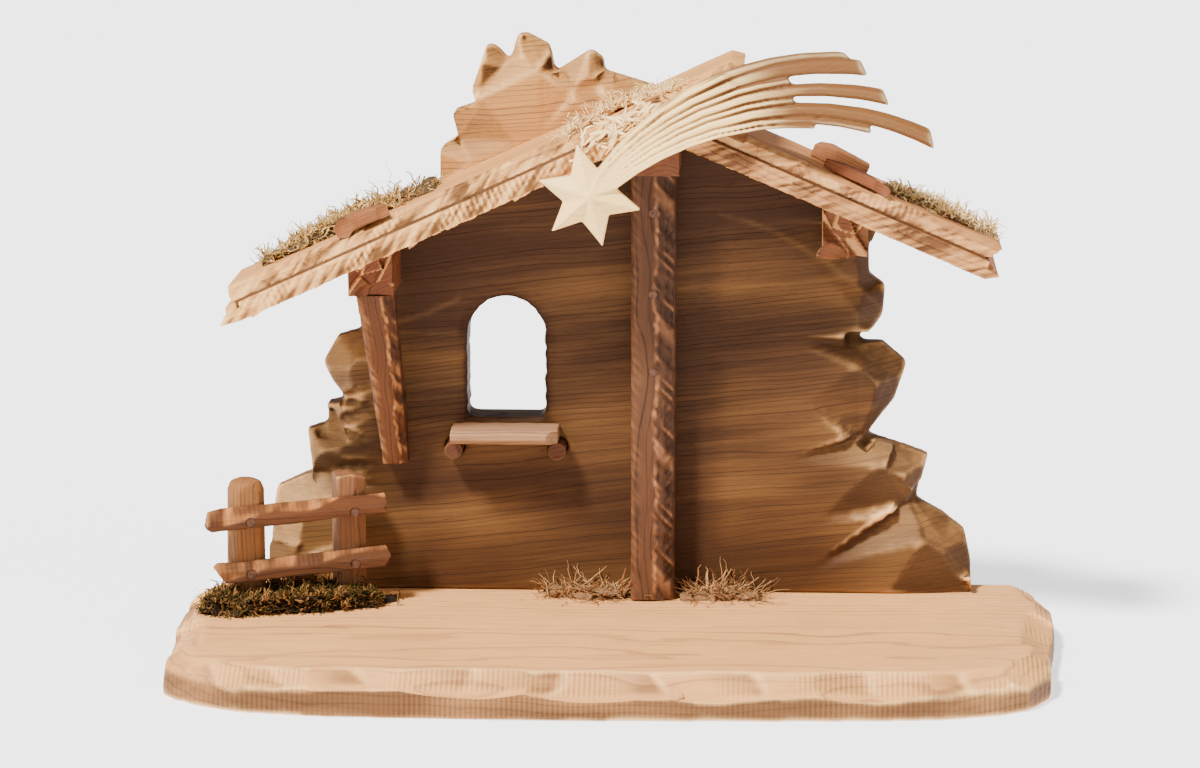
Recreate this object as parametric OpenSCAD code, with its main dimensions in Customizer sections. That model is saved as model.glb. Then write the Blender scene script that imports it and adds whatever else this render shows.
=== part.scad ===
// Carved wooden nativity stable: a chip-carved base board, a thick carved back wall
// with an arched window, two double-boarded roof slopes on three purlins, a post,
// a leaning brace, a small fence, a window shelf and a comet glued to the roof edge.
// Millimetres. +Z up, +X right, the open front faces -Y.
// Origin: middle of the base board's footprint, on its underside.

/* [Base board] */
// Width of the base board
base_w = 308; // [280:1:360]
// Depth of the base board
base_d = 145; // [135:1:190]
// Thickness of the base board
base_t = 14; // [10:0.5:22]
// Height of the chip-carved bevel round its top edge
base_bevel_h = 5.4; // [3:0.1:8]
// Width of that bevel seen from above
base_bevel_run = 9; // [5:0.1:14]
// Length of one chip of the bevel
base_chip_len = 27; // [18:1:40]

/* [Back wall] */
// Width of the carved wall at its foot
wall_w = 252; // [236:1:276]
// Thickness of the wall slab
wall_t = 16.5; // [12:0.5:22]
// Distance from the wall's back to the back edge of the base
wall_back_inset = 2; // [1:0.5:8]
// Height of the carved crown above the roof's ridge line
crown_rise = 26.4; // [18:0.1:32]
// Width of the crown
crown_w = 73; // [60:0.5:84]
// Width of the window
window_w = 27.5; // [20:0.5:32]
// Height of the window to the top of its arch
window_h = 43.5; // [34:0.5:50]
// Height of the window sill above the base
window_sill = 63; // [58:0.5:72]
// Distance of the window's centre left of the ridge line
window_offset = 54; // [44:0.5:62]

/* [Roof] */
// Height of the ridge's underside above the base
ridge_h = 170; // [150:1:190]
// Distance of the ridge line right of the middle
ridge_shift = 14; // [8:0.5:20]
// Depth of the roof from its front edge to the wall
roof_d = 45; // [38:0.5:56]
// Slope of the left boards in degrees
slope_left = 24.5; // [20:0.1:28]
// Slope of the right boards in degrees
slope_right = 23.3; // [20:0.1:28]
// Length of the left boards along their slope
left_len = 161; // [150:1:172]
// Length of the right boards along their slope
right_len = 124; // [112:1:134]
// Length of the left upper board's free end past the ridge
free_end_len = 37.5; // [24:0.5:42]
// Thickness of the lower boards
lower_t = 6.6; // [4.5:0.1:9]
// Thickness of the upper boards
upper_t = 5.4; // [4:0.1:8]

/* [Purlins] */
// Width of the purlins
purlin_w = 16; // [12:0.5:20]
// How far the purlins stand out from the wall
purlin_len = 32; // [26:0.5:36]
// Distance of the left purlin's middle from the ridge line
purlin_left_x = 99; // [90:0.5:100]
// Distance of the right purlin's middle from the ridge line
purlin_right_x = 65.2; // [58:0.2:68]
// Height of the left purlin at its middle
purlin_left_h = 13.3; // [10:0.1:18]
// Height of the right purlin at its middle
purlin_right_h = 15.4; // [11:0.1:18]
// Height of the ridge purlin
purlin_ridge_h = 15.7; // [11:0.1:18]

/* [Post and brace] */
// Width of the centre post
post_w = 15.7; // [11:0.1:20]
// Depth of the centre post
post_d = 15; // [10:0.5:19]
// Bark edge cut off the post's right corner
post_wane = 4; // [2:0.1:5]
// Width of the brace at its top
brace_top_w = 13; // [10:0.1:15]
// Width of the brace at its foot
brace_foot_w = 8.8; // [7:0.1:12]
// Depth of the brace at its top
brace_top_d = 12.5; // [9:0.1:15]
// Depth of the brace at its foot
brace_foot_d = 9.5; // [7:0.1:12]
// Height of the brace
brace_h = 64; // [50:0.5:76]
// How far the brace's foot stands right of its top
brace_lean = 5; // [0:0.1:7]

/* [Comet] */
// Distance from the star's centre to its tips
star_r = 18.2; // [14:0.1:22]
// Distance from the star's centre to its notches
star_notch_r = 9.4; // [7:0.1:11]
// Height of the star's peak above the back of the comet
star_h = 7.6; // [6:0.1:9]
// Thickness of the star's rim
star_rim_t = 2.6; // [1.6:0.1:4]
// Reach of the tail from the star's centre to its longest tip
tail_len = 117; // [100:1:130]
// Height of the tail's ribs above the back of the comet
tail_h = 5; // [4:0.1:6.5]
// Distance of the star's centre left of the ridge line
star_offset = 22.1; // [16:0.1:28]
// Distance of the star's centre below the ridge's underside
star_drop = 20.1; // [15:0.1:24]

/* [Window shelf] */
// Width of the shelf
shelf_w = 38; // [30:0.5:46]
// Depth of the shelf
shelf_d = 17; // [12:0.5:22]
// Thickness of the shelf
shelf_t = 5.3; // [4:0.1:7]
// Diameter of the pegs under the shelf
peg_dia = 6.6; // [5:0.1:9]
// How far the pegs stand out from the wall
peg_out = 9; // [6:0.5:14]

/* [Fence] */
// Height of the left fence post above the base
fence_left_h = 45.5; // [38:0.5:54]
// Height of the right fence post above the base
fence_right_h = 46; // [40:0.5:56]
// Width of the left post
fence_left_w = 13.8; // [10:0.1:16]
// Width of the right post
fence_right_w = 11; // [9:0.1:13]
// Distance between the post centres
fence_span = 37; // [32:0.5:46]
// Turn of the fence from the front line in degrees
fence_turn = 16; // [8:0.5:22]
// Distance of the left post's centre from the base's left side
fence_inset = 23.4; // [20:0.2:30]
// Distance of the left post's centre in front of the back wall
fence_ahead = 24; // [18:0.5:30]
// Height of a fence rail
rail_h = 7.6; // [6:0.1:10]
// Thickness of a fence rail
rail_t = 6; // [4:0.1:8]
// Height of the lower rail's middle above the base
rail_low_z = 13.5; // [11:0.1:16]
// Height of the upper rail's middle above the base
rail_high_z = 32.2; // [28:0.1:36]

/* [Moss and straw] */
// Height of the moss bed at the fence
moss_bed_h = 8; // [5:0.5:10]
// Height of the moss on the roof
moss_roof_h = 8; // [5:0.1:10]
// Height of the straw on the floor
straw_floor_h = 9; // [5:0.5:12]
// Height of the straw on the ridge
straw_ridge_h = 4; // [2:0.1:6]

/* [Fasteners] */
// Diameter of the screw shanks
screw_dia = 3; // [2.5:0.1:4]
// Diameter of the screw heads
screw_head_dia = 6; // [5:0.1:7]
// Length of the screws under the base
screw_len = 34; // [28:0.5:36]
// Diameter of the brads and nails
nail_dia = 1.6; // [1.2:0.1:2]
// Diameter of the nail heads
nail_head_dia = 3; // [2.2:0.1:3.6]
// Diameter of the dowels in the fence posts' feet
dowel_dia = 4; // [3:0.1:5]
// Length of those dowels
dowel_len = 14; // [10:0.5:18]

/* [Hidden] */

// Round parts: sides of a circle
round_sides = 32;
// One overrun serves every cut
over = 1;
// Seat between pieces that touch on a turned or sloping face
seat = 0.15;
// Clearance of a soft bed round what stands in it
bed_clear = 0.3;
// Clearance round a screw, nail or dowel in its bore
bore_clear = 0.05;

// Planes and lines that several pieces share
base_half_w = base_w / 2;
base_half_d = base_d / 2;
floor_z = base_t;
wall_back_y = base_half_d - wall_back_inset;
wall_front_y = wall_back_y - wall_t;
fence_y = wall_front_y - fence_ahead;
roof_front_y = wall_front_y - roof_d;
ridge_x = ridge_shift;
ridge_z = floor_z + ridge_h;
wall_half_w = wall_w / 2;
roof_t = lower_t + upper_t;
purlin_half_w = purlin_w / 2;

// Height of the roof's underside, and of its top, over a place x
function under_z(x) = ridge_z - (x < ridge_x ? (ridge_x - x) * tan(slope_left)
                                             : (x - ridge_x) * tan(slope_right));
function top_z(x) = under_z(x) + roof_t / cos(x < ridge_x ? slope_left : slope_right);

// Point k of n steps between two points
function between(p, q, k, n) = p + (q - p) * k / n;
function unit(v) = v / norm(v);

// A place in the upright plane of a wall or a comet: x stays, the second value is Z,
// and the extrusion grows towards the front
module upright(y) { translate([0, y, 0]) rotate([90, 0, 0]) children(); }

// A chip cut: everything in front of a plane that starts at the edge, `drop` below
// the face, and meets the face `run` inwards. Outwards is +X, the face looks to +Z.
chip_reach = 4;
module chip(run, drop, len) {
    reach = chip_reach;
    rotate([90, 0, 0]) translate([0, 0, -len / 2]) linear_extrude(len)
        polygon([[-run, 0], [reach, -drop * (1 + reach / run)], [reach, reach], [-run, reach]]);
}

// The same cut on the upright face of the wall, at a place on its outline
module wall_chip(x, z, heading, run, drop, len) {
    translate([x, wall_front_y, z]) rotate([0, -heading, 0]) rotate([90, 0, 0])
        chip(run, drop, len);
}

// Countersunk screw along +Z with its head's top at zero
screw_head_h = (screw_head_dia - screw_dia) / 2;
module screw(len) {
    rotate_extrude($fn = round_sides)
        polygon([[0, 0], [screw_head_dia / 2, 0], [screw_dia / 2, screw_head_h],
                 [screw_dia / 2, len - screw_dia], [0, len]]);
}
module screw_bore(len) {
    r = screw_dia / 2 + bore_clear;
    head_r = screw_head_dia / 2 + bore_clear;
    rotate_extrude($fn = round_sides)
        polygon([[0, -over], [head_r, -over], [head_r, 0], [r, screw_head_h],
                 [r, len + bore_clear], [0, len + bore_clear]]);
}

// Nail along +Z with a flat head
nail_head_t = 0.8;
module nail(len) {
    rotate_extrude($fn = round_sides)
        polygon([[0, 0], [nail_head_dia / 2, 0], [nail_head_dia / 2, nail_head_t],
                 [nail_dia / 2, nail_head_t], [nail_dia / 2, len - nail_dia], [0, len]]);
}
module nail_bore(len) {
    r = nail_dia / 2 + bore_clear;
    head_r = nail_head_dia / 2 + bore_clear;
    rotate_extrude($fn = round_sides)
        polygon([[0, -over], [head_r, -over], [head_r, nail_head_t + bore_clear],
                 [r, nail_head_t + bore_clear], [r, len + bore_clear],
                 [0, len + bore_clear]]);
}

// Outline of the base board as shares of its half width and half depth
base_shares = [[-0.975, -0.62], [-0.944, -0.70], [-0.888, -0.80], [-0.80, -0.90],
    [-0.61, -0.972], [-0.39, -1], [0, -0.987], [0.39, -0.955], [0.60, -0.93],
    [0.74, -0.893], [0.853, -0.806], [0.916, -0.72], [0.97, -0.50], [0.978, -0.16],
    [1, 0.34], [1, 0.74], [0.987, 0.885], [0.955, 1], [-0.955, 0.985],
    [-0.987, 0.86], [-1, 0.55], [-1, 0.26], [-0.99, 0], [-0.979, -0.36]];
base_back_edge = 17;
base_outline = [for (s = base_shares) [s[0] * base_half_w, s[1] * base_half_d]];
// How deep each chip of the bevel in turn bites, as shares of the bevel
bite_shares = [1, 0.72, 1.16, 0.86, 1.24, 0.78, 1.06, 0.68, 1.12];
// How far each chip turns out of the edge's line, in degrees
chip_turns = [2, -4, 5, -2, 3, -5];

// Places of the screws from under the base into the wall's foot
base_screw_share = 0.72;
base_screw_xs = [-base_screw_share * wall_half_w, 0, base_screw_share * wall_half_w];
base_screw_y = wall_back_y - wall_t / 2;

module base_board() {
    count = len(base_outline);
    color("burlywood") difference() {
        linear_extrude(base_t) polygon(base_outline);
        for (i = [0 : count - 1]) {
            p = base_outline[i];
            q = base_outline[(i + 1) % count];
            // The long back edge under the wall stays square
            parts = i == base_back_edge ? 0 : max(1, round(norm(q - p) / base_chip_len));
            if (parts > 0) for (j = [0 : parts - 1]) {
                c = between(p, q, j + 0.5, parts);
                bite = bite_shares[(i + 2 * j) % len(bite_shares)];
                turn = parts > 1 ? chip_turns[(i + j) % len(chip_turns)] : 0;
                heading = atan2(q[1] - p[1], q[0] - p[0]) - 90 + turn;
                translate([c[0], c[1], base_t]) rotate([0, 0, heading])
                    chip(base_bevel_run * bite, base_bevel_h * bite,
                         norm(q - p) / parts + base_bevel_run);
            }
        }
        for (x = base_screw_xs) translate([x, base_screw_y, 0]) screw_bore(screw_len);
        for (k = [0, 1]) translate(fence_post_place(k)) dowel_bore();
    }
}

// Left purlin and right purlin: their middles and shoulders on the wall
left_purlin_cx = ridge_x - purlin_left_x;
right_purlin_cx = ridge_x + purlin_right_x;
purlin_screw_z = [under_z(left_purlin_cx) - purlin_left_h / 2,
                  ridge_z - purlin_ridge_h / 2,
                  under_z(right_purlin_cx) - purlin_right_h / 2];
purlin_screw_x = [left_purlin_cx, ridge_x, right_purlin_cx];
// The wall stops just inside the left purlin's outer side and reaches past the right one's
left_shoulder_in = 0.5;
right_shoulder_out = 5.5;
shoulder_lip = 0.8;
left_shoulder_x = left_purlin_cx - purlin_half_w + left_shoulder_in;
right_shoulder_x = right_purlin_cx + purlin_half_w + right_shoulder_out;
// How far the wall's top stays under the roof's top where the roof hides it
wall_tuck = 3.4;
left_foot_z = under_z(left_purlin_cx) - purlin_left_h;
right_foot_z = under_z(right_purlin_cx) - purlin_right_h;

// Lobes of the wall's left side, from the floor up: shares of the half width and of
// the height of the left purlin's underside above the base
left_lobe_shares = [[-1, 0], [-1, 0.125], [-0.983, 0.315], [-0.9, 0.36], [-0.874, 0.368],
    [-0.885, 0.457], [-0.892, 0.506], [-0.833, 0.528], [-0.837, 0.592], [-0.778, 0.61],
    [-0.817, 0.663], [-0.844, 0.726], [-0.802, 0.811], [-0.736, 0.833], [-0.724, 0.93]];
// Lobes of the right side, from the right purlin's underside down to the floor
right_lobe_shares = [[0.70, 0.985], [0.702, 0.905], [0.748, 0.87], [0.741, 0.79],
    [0.72, 0.762], [0.66, 0.712], [0.741, 0.712], [0.811, 0.65], [0.797, 0.612],
    [0.776, 0.548], [0.735, 0.5], [0.697, 0.447], [0.809, 0.412], [0.874, 0.388],
    [0.858, 0.328], [0.842, 0.262], [0.915, 0.222], [0.981, 0.17], [0.998, 0.087],
    [1, 0]];
// Lobes of the crown: shares of its width left of the point where its right end
// meets the roof, and of its rise, from the left roof line up and over
crown_shares = [[-1, -0.887], [-0.999, -0.436], [-0.91, -0.292], [-0.941, 0.019],
    [-0.821, 0.114], [-0.845, 0.303], [-0.804, 0.606], [-0.777, 0.852],
    [-0.743, 0.841], [-0.69, 0.712], [-0.673, 0.64], [-0.653, 0.742],
    [-0.627, 0.985], [-0.58, 1], [-0.475, 0.845], [-0.461, 0.72], [-0.449, 0.53],
    [-0.428, 0.53], [-0.273, 0.788], [-0.211, 0.674], [-0.206, 0.508],
    [-0.168, 0.492], [0, 0.364]];
crown_end_inset = 4.4;
crown_right_x = ridge_x - crown_end_inset;
crown_pts = [for (s = crown_shares) [crown_right_x + s[0] * crown_w,
                                     ridge_z + s[1] * crown_rise]];
wall_outline = concat(
    [for (s = left_lobe_shares) [s[0] * wall_half_w, floor_z + s[1] * (left_foot_z - floor_z)]],
    [[left_shoulder_x, left_foot_z], [left_shoulder_x, top_z(left_shoulder_x) - wall_tuck]],
    crown_pts,
    [[right_shoulder_x, top_z(right_shoulder_x) - wall_tuck],
     [right_shoulder_x, under_z(right_shoulder_x) - shoulder_lip]],
    [for (s = right_lobe_shares) [s[0] * wall_half_w, floor_z + s[1] * (right_foot_z - floor_z)]]);

// Chips along the lobes of the left side: share of half width, share of height,
// heading in degrees, run and drop as shares of the wall's thickness
left_chip_shares = [[-1, 0.22, 178, 0.85, 0.55], [-0.95, 0.335, 128, 0.8, 0.6],
    [-0.885, 0.44, 176, 0.45, 0.4], [-0.86, 0.517, 115, 0.6, 0.55],
    [-0.835, 0.56, 182, 0.5, 0.45], [-0.832, 0.69, 207, 0.7, 0.55],
    [-0.823, 0.77, 155, 0.7, 0.6], [-0.77, 0.822, 108, 0.6, 0.6]];
right_chip_shares = [[0.70, 0.93, 5, 0.4, 0.4], [0.745, 0.83, 4, 0.6, 0.5],
    [0.70, 0.715, 88, 0.3, 0.5], [0.776, 0.68, 42, 0.8, 0.6], [0.787, 0.58, -22, 0.6, 0.5],
    [0.716, 0.472, -35, 0.5, 0.4], [0.84, 0.4, 70, 0.7, 0.6], [0.866, 0.358, -15, 0.6, 0.5],
    [0.88, 0.243, 52, 0.6, 0.6], [0.948, 0.195, 50, 0.7, 0.6], [0.992, 0.12, 12, 0.7, 0.5]];
crown_chip_shares = [[-0.997, -0.65, 182, 0.35, 0.3], [-0.954, -0.36, 120, 0.45, 0.5],
    [-0.926, -0.13, 195, 0.3, 0.3], [-0.881, 0.066, 115, 0.45, 0.5],
    [-0.826, 0.45, 152, 0.6, 0.6], [-0.79, 0.73, 165, 0.4, 0.5],
    [-0.72, 0.78, 52, 0.45, 0.5], [-0.64, 0.86, 158, 0.35, 0.5],
    [-0.53, 0.92, 62, 0.6, 0.6], [-0.462, 0.7, 10, 0.3, 0.4],
    [-0.35, 0.66, 122, 0.5, 0.5], [-0.24, 0.73, 40, 0.5, 0.6],
    [-0.09, 0.43, 66, 0.45, 0.4]];
chip_len_share = 1.05;
// The crown's chips stop above the roof boards
crown_chip_len = wall_t * 0.62;

module wall_chips() {
    for (s = left_chip_shares)
        wall_chip(s[0] * wall_half_w, floor_z + s[1] * (left_foot_z - floor_z), s[2],
                  s[3] * wall_t, s[4] * wall_t, wall_t * chip_len_share);
    for (s = right_chip_shares)
        wall_chip(s[0] * wall_half_w, floor_z + s[1] * (right_foot_z - floor_z), s[2],
                  s[3] * wall_t, s[4] * wall_t, wall_t * chip_len_share);
    for (s = crown_chip_shares)
        wall_chip(crown_right_x + s[0] * crown_w, ridge_z + s[1] * crown_rise, s[2],
                  s[3] * wall_t, s[4] * wall_t, crown_chip_len);
}

// Window: middle, half width and the height where its arch springs
window_x = ridge_x - window_offset;
window_half_w = window_w / 2;
window_spring = window_h - window_half_w;
window_corner_r = 3;
module window_outline() {
    translate([window_x, floor_z + window_sill]) {
        translate([0, window_spring]) circle(r = window_half_w, $fn = 2 * round_sides);
        for (side = [-1, 1])
            translate([side * (window_half_w - window_corner_r), window_corner_r])
                circle(r = window_corner_r, $fn = round_sides);
        translate([-window_half_w + window_corner_r, 0])
            square([window_w - 2 * window_corner_r, window_spring]);
        translate([-window_half_w, window_corner_r])
            square([window_w, window_spring - window_corner_r]);
    }
}

module back_wall() {
    color("sienna") difference() {
        upright(wall_back_y) linear_extrude(wall_t) polygon(wall_outline);
        wall_chips();
        upright(wall_back_y + over) linear_extrude(wall_t + 2 * over) window_outline();
        for (x = base_screw_xs) translate([x, base_screw_y, 0]) screw_bore(screw_len);
        for (i = [0 : 2]) purlin_screw_place(i) screw_bore(purlin_screw_len);
        for (z = post_nail_zs) post_nail_place(z) nail_bore(post_nail_len);
        for (side = [-1, 1]) peg_place(side) peg(bore_clear);
        brace_nail_place() nail_bore(brace_nail_len);
    }
}

// Screws through the wall's back into the ends of the purlins
purlin_screw_len = wall_t + purlin_len * 0.45;
module purlin_screw_place(i) {
    translate([purlin_screw_x[i], wall_back_y, purlin_screw_z[i]]) rotate([90, 0, 0]) children();
}

// Purlins: their tops follow the roof's underside
purlin_front_y = wall_front_y - purlin_len;
module purlin_block(cx, foot_z) {
    a = cx - purlin_half_w;
    b = cx + purlin_half_w;
    tops = a < ridge_x && b > ridge_x ? [[b, under_z(b)], [ridge_x, ridge_z], [a, under_z(a)]]
                                      : [[b, under_z(b)], [a, under_z(a)]];
    upright(wall_front_y) linear_extrude(purlin_len)
        polygon(concat([[a, foot_z], [b, foot_z]], tops));
}

module ridge_purlin() {
    color("peru") difference() {
        purlin_block(ridge_x, ridge_z - purlin_ridge_h);
        purlin_screw_place(1) screw_bore(purlin_screw_len);
        for (y = brad_ys) left_brad_place(brad_ridge_u, y) nail_bore(brad_len);
    }
}

// The left purlin's end has an arched scoop under a carved zigzag
scoop_r = purlin_w * 0.62;
scoop_depth = purlin_w * 0.2;
module left_purlin() {
    color("sienna") difference() {
        purlin_block(left_purlin_cx, left_foot_z);
        translate([left_purlin_cx + purlin_half_w / 2, purlin_front_y + scoop_depth, left_foot_z])
            rotate([90, 0, 0]) cylinder(h = scoop_depth + over, r = scoop_r / 2, $fn = 2 * round_sides);
        purlin_screw_place(0) screw_bore(purlin_screw_len);
        for (y = brad_ys) left_brad_place(brad_left_u, y) nail_bore(brad_len);
    }
}

// The right purlin's end has two steep V chips
v_chip_d = purlin_w * 0.3;
v_chip_lean = 38;
v_chip_turn = 45;
module right_purlin() {
    color("sienna") difference() {
        purlin_block(right_purlin_cx, right_foot_z);
        for (k = [0, 1])
            translate([right_purlin_cx - purlin_half_w + (k + 0.5) * purlin_half_w,
                       purlin_front_y, right_foot_z + (1 - k) * purlin_right_h / 2])
                rotate([0, -v_chip_lean, 0]) rotate([0, 0, v_chip_turn])
                    cube([v_chip_d, v_chip_d, purlin_w], center = true);
        purlin_screw_place(2) screw_bore(purlin_screw_len);
        for (y = brad_ys) right_brad_place(brad_right_u, y) nail_bore(brad_len);
    }
}

// Centre post: against the wall, from the base to the ridge purlin
post_shift = 1.5;
post_x = ridge_x - post_shift;
post_top_z = ridge_z - purlin_ridge_h;
post_front_y = wall_front_y - post_d;
post_edge = 1;
module centre_post() {
    h = post_w / 2;
    color("saddlebrown") difference() {
        translate([post_x, wall_front_y, floor_z]) linear_extrude(post_top_z - floor_z)
            polygon([[-h, 0], [-h, -post_d + post_edge], [-h + post_edge, -post_d],
                     [h - post_wane, -post_d], [h - post_wane / 3, -post_d + post_wane * 0.4],
                     [h, -post_d + post_wane], [h, 0]]);
        for (z = post_nail_zs) post_nail_place(z) nail_bore(post_nail_len);
    }
}

// Nails through the post into the wall
post_nail_len = post_d + wall_t * 0.55;
post_nail_shares = [0.535, 0.714, 0.9];
post_nail_zs = [for (s = post_nail_shares) floor_z + s * (post_top_z - floor_z)];
module post_nail_place(z) {
    translate([post_x, post_front_y, z]) rotate([-90, 0, 0]) children();
}

// Brace: leans from under the left purlin's front back to the wall
brace_top_z = left_foot_z;
brace_foot_z = brace_top_z - brace_h;
brace_shift = 1;
brace_top_x = left_purlin_cx + brace_shift;
brace_foot_x = brace_top_x + brace_lean;
brace_setback = 2.5;
brace_top_y = purlin_front_y + brace_setback;
brace_heel_share = 0.3;
brace_wane = 2.4;
wane_turn = 45;
module brace_front() {
    polygon([[brace_foot_x - brace_foot_w / 2, brace_foot_z],
             [brace_foot_x + brace_foot_w / 2, brace_foot_z],
             [brace_top_x + brace_top_w / 2, brace_top_z],
             [brace_top_x - brace_top_w / 2, brace_top_z]]);
}
module brace_side() {
    polygon([[wall_front_y - brace_foot_d, brace_foot_z], [wall_front_y, brace_foot_z],
             [wall_front_y, brace_foot_z + brace_h * brace_heel_share],
             [brace_top_y + brace_top_d, brace_top_z], [brace_top_y, brace_top_z]]);
}
module left_brace() {
    color("sienna") difference() {
        intersection() {
            upright(wall_front_y) linear_extrude(purlin_len) brace_front();
            translate([brace_top_x - purlin_w, 0, 0]) rotate([90, 0, 90])
                linear_extrude(2 * purlin_w + brace_lean) brace_side();
        }
        // Waney strip down the right front edge
        hull() {
            translate([brace_top_x + brace_top_w / 2, brace_top_y, brace_top_z + over])
                rotate([0, 0, wane_turn]) cube([2 * brace_wane, 2 * brace_wane, over], center = true);
            translate([brace_foot_x + brace_foot_w / 2, wall_front_y - brace_foot_d,
                       brace_foot_z - over])
                rotate([0, 0, wane_turn]) cube([2 * brace_wane, 2 * brace_wane, over], center = true);
        }
        brace_nail_place() nail_bore(brace_nail_len);
    }
}
brace_nail_len = brace_foot_d + wall_t * 0.4;
module brace_nail_place() {
    translate([brace_foot_x - brace_wane / 2, wall_front_y - brace_foot_d,
               brace_foot_z + brace_foot_w])
        rotate([-90, 0, 0]) children();
}

// Frames on the two slopes: origin on the ridge's underside at the roof's front
// edge, X along the slope and rising to the right on the left side
module left_slope() {
    translate([ridge_x, roof_front_y, ridge_z]) rotate([0, -slope_left, 0]) children();
}
module right_slope() {
    translate([ridge_x, roof_front_y, ridge_z]) rotate([0, slope_right, 0]) children();
}

// A board: side profile in the slope's XZ plane, less the hewn bevel of its front edge
module board(profile, bevels, face_z) {
    difference() {
        translate([0, roof_d, 0]) rotate([90, 0, 0]) linear_extrude(roof_d) polygon(profile);
        for (b = bevels)
            translate([b[0], 0, face_z]) rotate([0, 0, -90 + b[4]]) chip(b[1], b[2], b[3]);
    }
}

// Bevels of the front edges: place along the board, run, drop, length and turn
bevel_run_share = 0.22;
function bevels_along(from, to, count, thickness, turns) =
    [for (k = [0 : count - 1])
        [from + (to - from) * (k + 0.5) / count,
         roof_d * bevel_run_share * (k % 2 == 0 ? 1 : 0.7),
         thickness * (k % 3 == 0 ? 0.62 : 0.5),
         abs(to - from) / count * 1.1,
         turns[k % len(turns)]]];
bevel_turns = [2.5, -2, -3, 2];

left_end = -left_len;
// Slanting break of a board's end
end_cut = 4;
mitre_left = lower_t * tan(slope_left);
mitre_right = lower_t * tan(slope_right);
left_lower_profile = [[left_end + end_cut, 0], [-seat, 0], [mitre_left - seat, lower_t],
    [left_end + end_cut, lower_t], [left_end - end_cut * 0.1, lower_t * 0.88],
    [left_end, lower_t * 0.6], [left_end - end_cut, lower_t * 0.16]];
left_upper_profile = [[left_end + end_cut * 1.1, lower_t], [free_end_len - end_cut * 1.4, lower_t],
    [free_end_len, lower_t + upper_t * 0.4], [free_end_len - end_cut, roof_t],
    [left_end + end_cut * 0.8, roof_t]];
ridge_angle = slope_left + slope_right;
upper_foot = seat - mitre_right;
right_lower_profile = [[seat, 0], [right_len - end_cut * 0.3, 0],
    [right_len + end_cut * 0.85, lower_t * 0.42], [right_len - end_cut * 0.7, lower_t * 0.9],
    [right_len - end_cut, lower_t], [seat - mitre_right, lower_t]];
right_upper_profile = [[upper_foot + seat, lower_t], [right_len - end_cut * 1.1, lower_t],
    [right_len + end_cut * 0.25, roof_t - upper_t * 0.2], [right_len - end_cut * 0.3, roof_t],
    [upper_foot + upper_t / tan(ridge_angle) + 2 * seat, roof_t]];

module roof_left_lower() {
    color("tan") difference() {
        left_slope() board(left_lower_profile,
            bevels_along(left_end, 0, 6, lower_t, bevel_turns), lower_t);
        for (u = [brad_left_u, brad_ridge_u], y = brad_ys) left_brad_place(u, y) nail_bore(brad_len);
    }
}
module roof_left_upper() {
    color("burlywood") difference() {
        left_slope() board(left_upper_profile,
            bevels_along(left_end, free_end_len, 7, upper_t, bevel_turns), roof_t);
        for (u = [brad_left_u, brad_ridge_u], y = brad_ys) left_brad_place(u, y) nail_bore(brad_len);
    }
}
module roof_right_lower() {
    color("tan") difference() {
        right_slope() board(right_lower_profile,
            bevels_along(0, right_len, 5, lower_t, bevel_turns), lower_t);
        for (y = brad_ys) right_brad_place(brad_right_u, y) nail_bore(brad_len);
    }
}
module roof_right_upper() {
    color("burlywood") difference() {
        right_slope() board(right_upper_profile,
            bevels_along(end_cut, right_len, 5, upper_t, bevel_turns), roof_t);
        for (y = brad_ys) right_brad_place(brad_right_u, y) nail_bore(brad_len);
    }
}

// Brads through both boards into the purlins
brad_len = roof_t + purlin_ridge_h * 0.5;
brad_ys = [roof_d - purlin_len * 0.88, roof_d - purlin_len * 0.68];
brad_left_u = -purlin_left_x / cos(slope_left);
brad_ridge_u = -purlin_w * 0.2;
brad_right_u = purlin_right_x / cos(slope_right);
module left_brad_place(u, y) {
    left_slope() translate([u, y, roof_t]) rotate([180, 0, 0]) children();
}
module right_brad_place(u, y) {
    right_slope() translate([u, y, roof_t]) rotate([180, 0, 0]) children();
}

// Ledge chips: small offcuts glued on the boards. Plan shares of length and depth.
chip_top_shares = [[0, 0.15], [0.18, 0], [0.45, 0.2], [1, 0.1], [0.95, 0.75], [0.3, 1], [0.05, 0.7]];
left_chip_len = 20;
left_chip_d = 12;
left_chip_h = 5.5;
left_chip_u = 114.5;
left_chip_y_share = 0.03;
module slab_chip(len, depth, height, shares, rise) {
    intersection() {
        linear_extrude(height) polygon([for (s = shares) [s[0] * len, s[1] * depth]]);
        translate([0, depth + over, 0]) rotate([90, 0, 0]) linear_extrude(depth + 2 * over)
            polygon([[0, 0], [len, 0], [len, height * rise], [len * 0.7, height * 0.92],
                     [len * 0.3, height], [0, height * 0.75]]);
    }
}
module left_ledge_chip() {
    color("peru") left_slope() translate([-left_chip_u, roof_d * left_chip_y_share, roof_t])
        slab_chip(left_chip_len, left_chip_d, left_chip_h, chip_top_shares, 0.7);
}
right_chip_len = 24;
right_chip_d = 8;
right_chip_h = 4.4;
right_chip_u = 57;
right_chip_y_share = 0.08;
front_chip_shares = [[0, 1], [0, 0.8], [0.35, 0.45], [0.8, 0.2], [1, 0], [1, 0.45], [0.6, 0.95]];
module right_ledge_chip_front() {
    color("sienna") right_slope() translate([right_chip_u, roof_d * right_chip_y_share, roof_t])
        slab_chip(right_chip_len, right_chip_d, right_chip_h, front_chip_shares, 0.55);
}
back_chip_len = 21;
back_chip_lead = 5;
back_chip_y_share = 0.5;
back_chip_d = 9;
back_chip_h = 6.4;
back_chip_shares = [[0, 0.2], [0.4, 0], [1, 0.1], [1, 0.9], [0.1, 1]];
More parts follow.
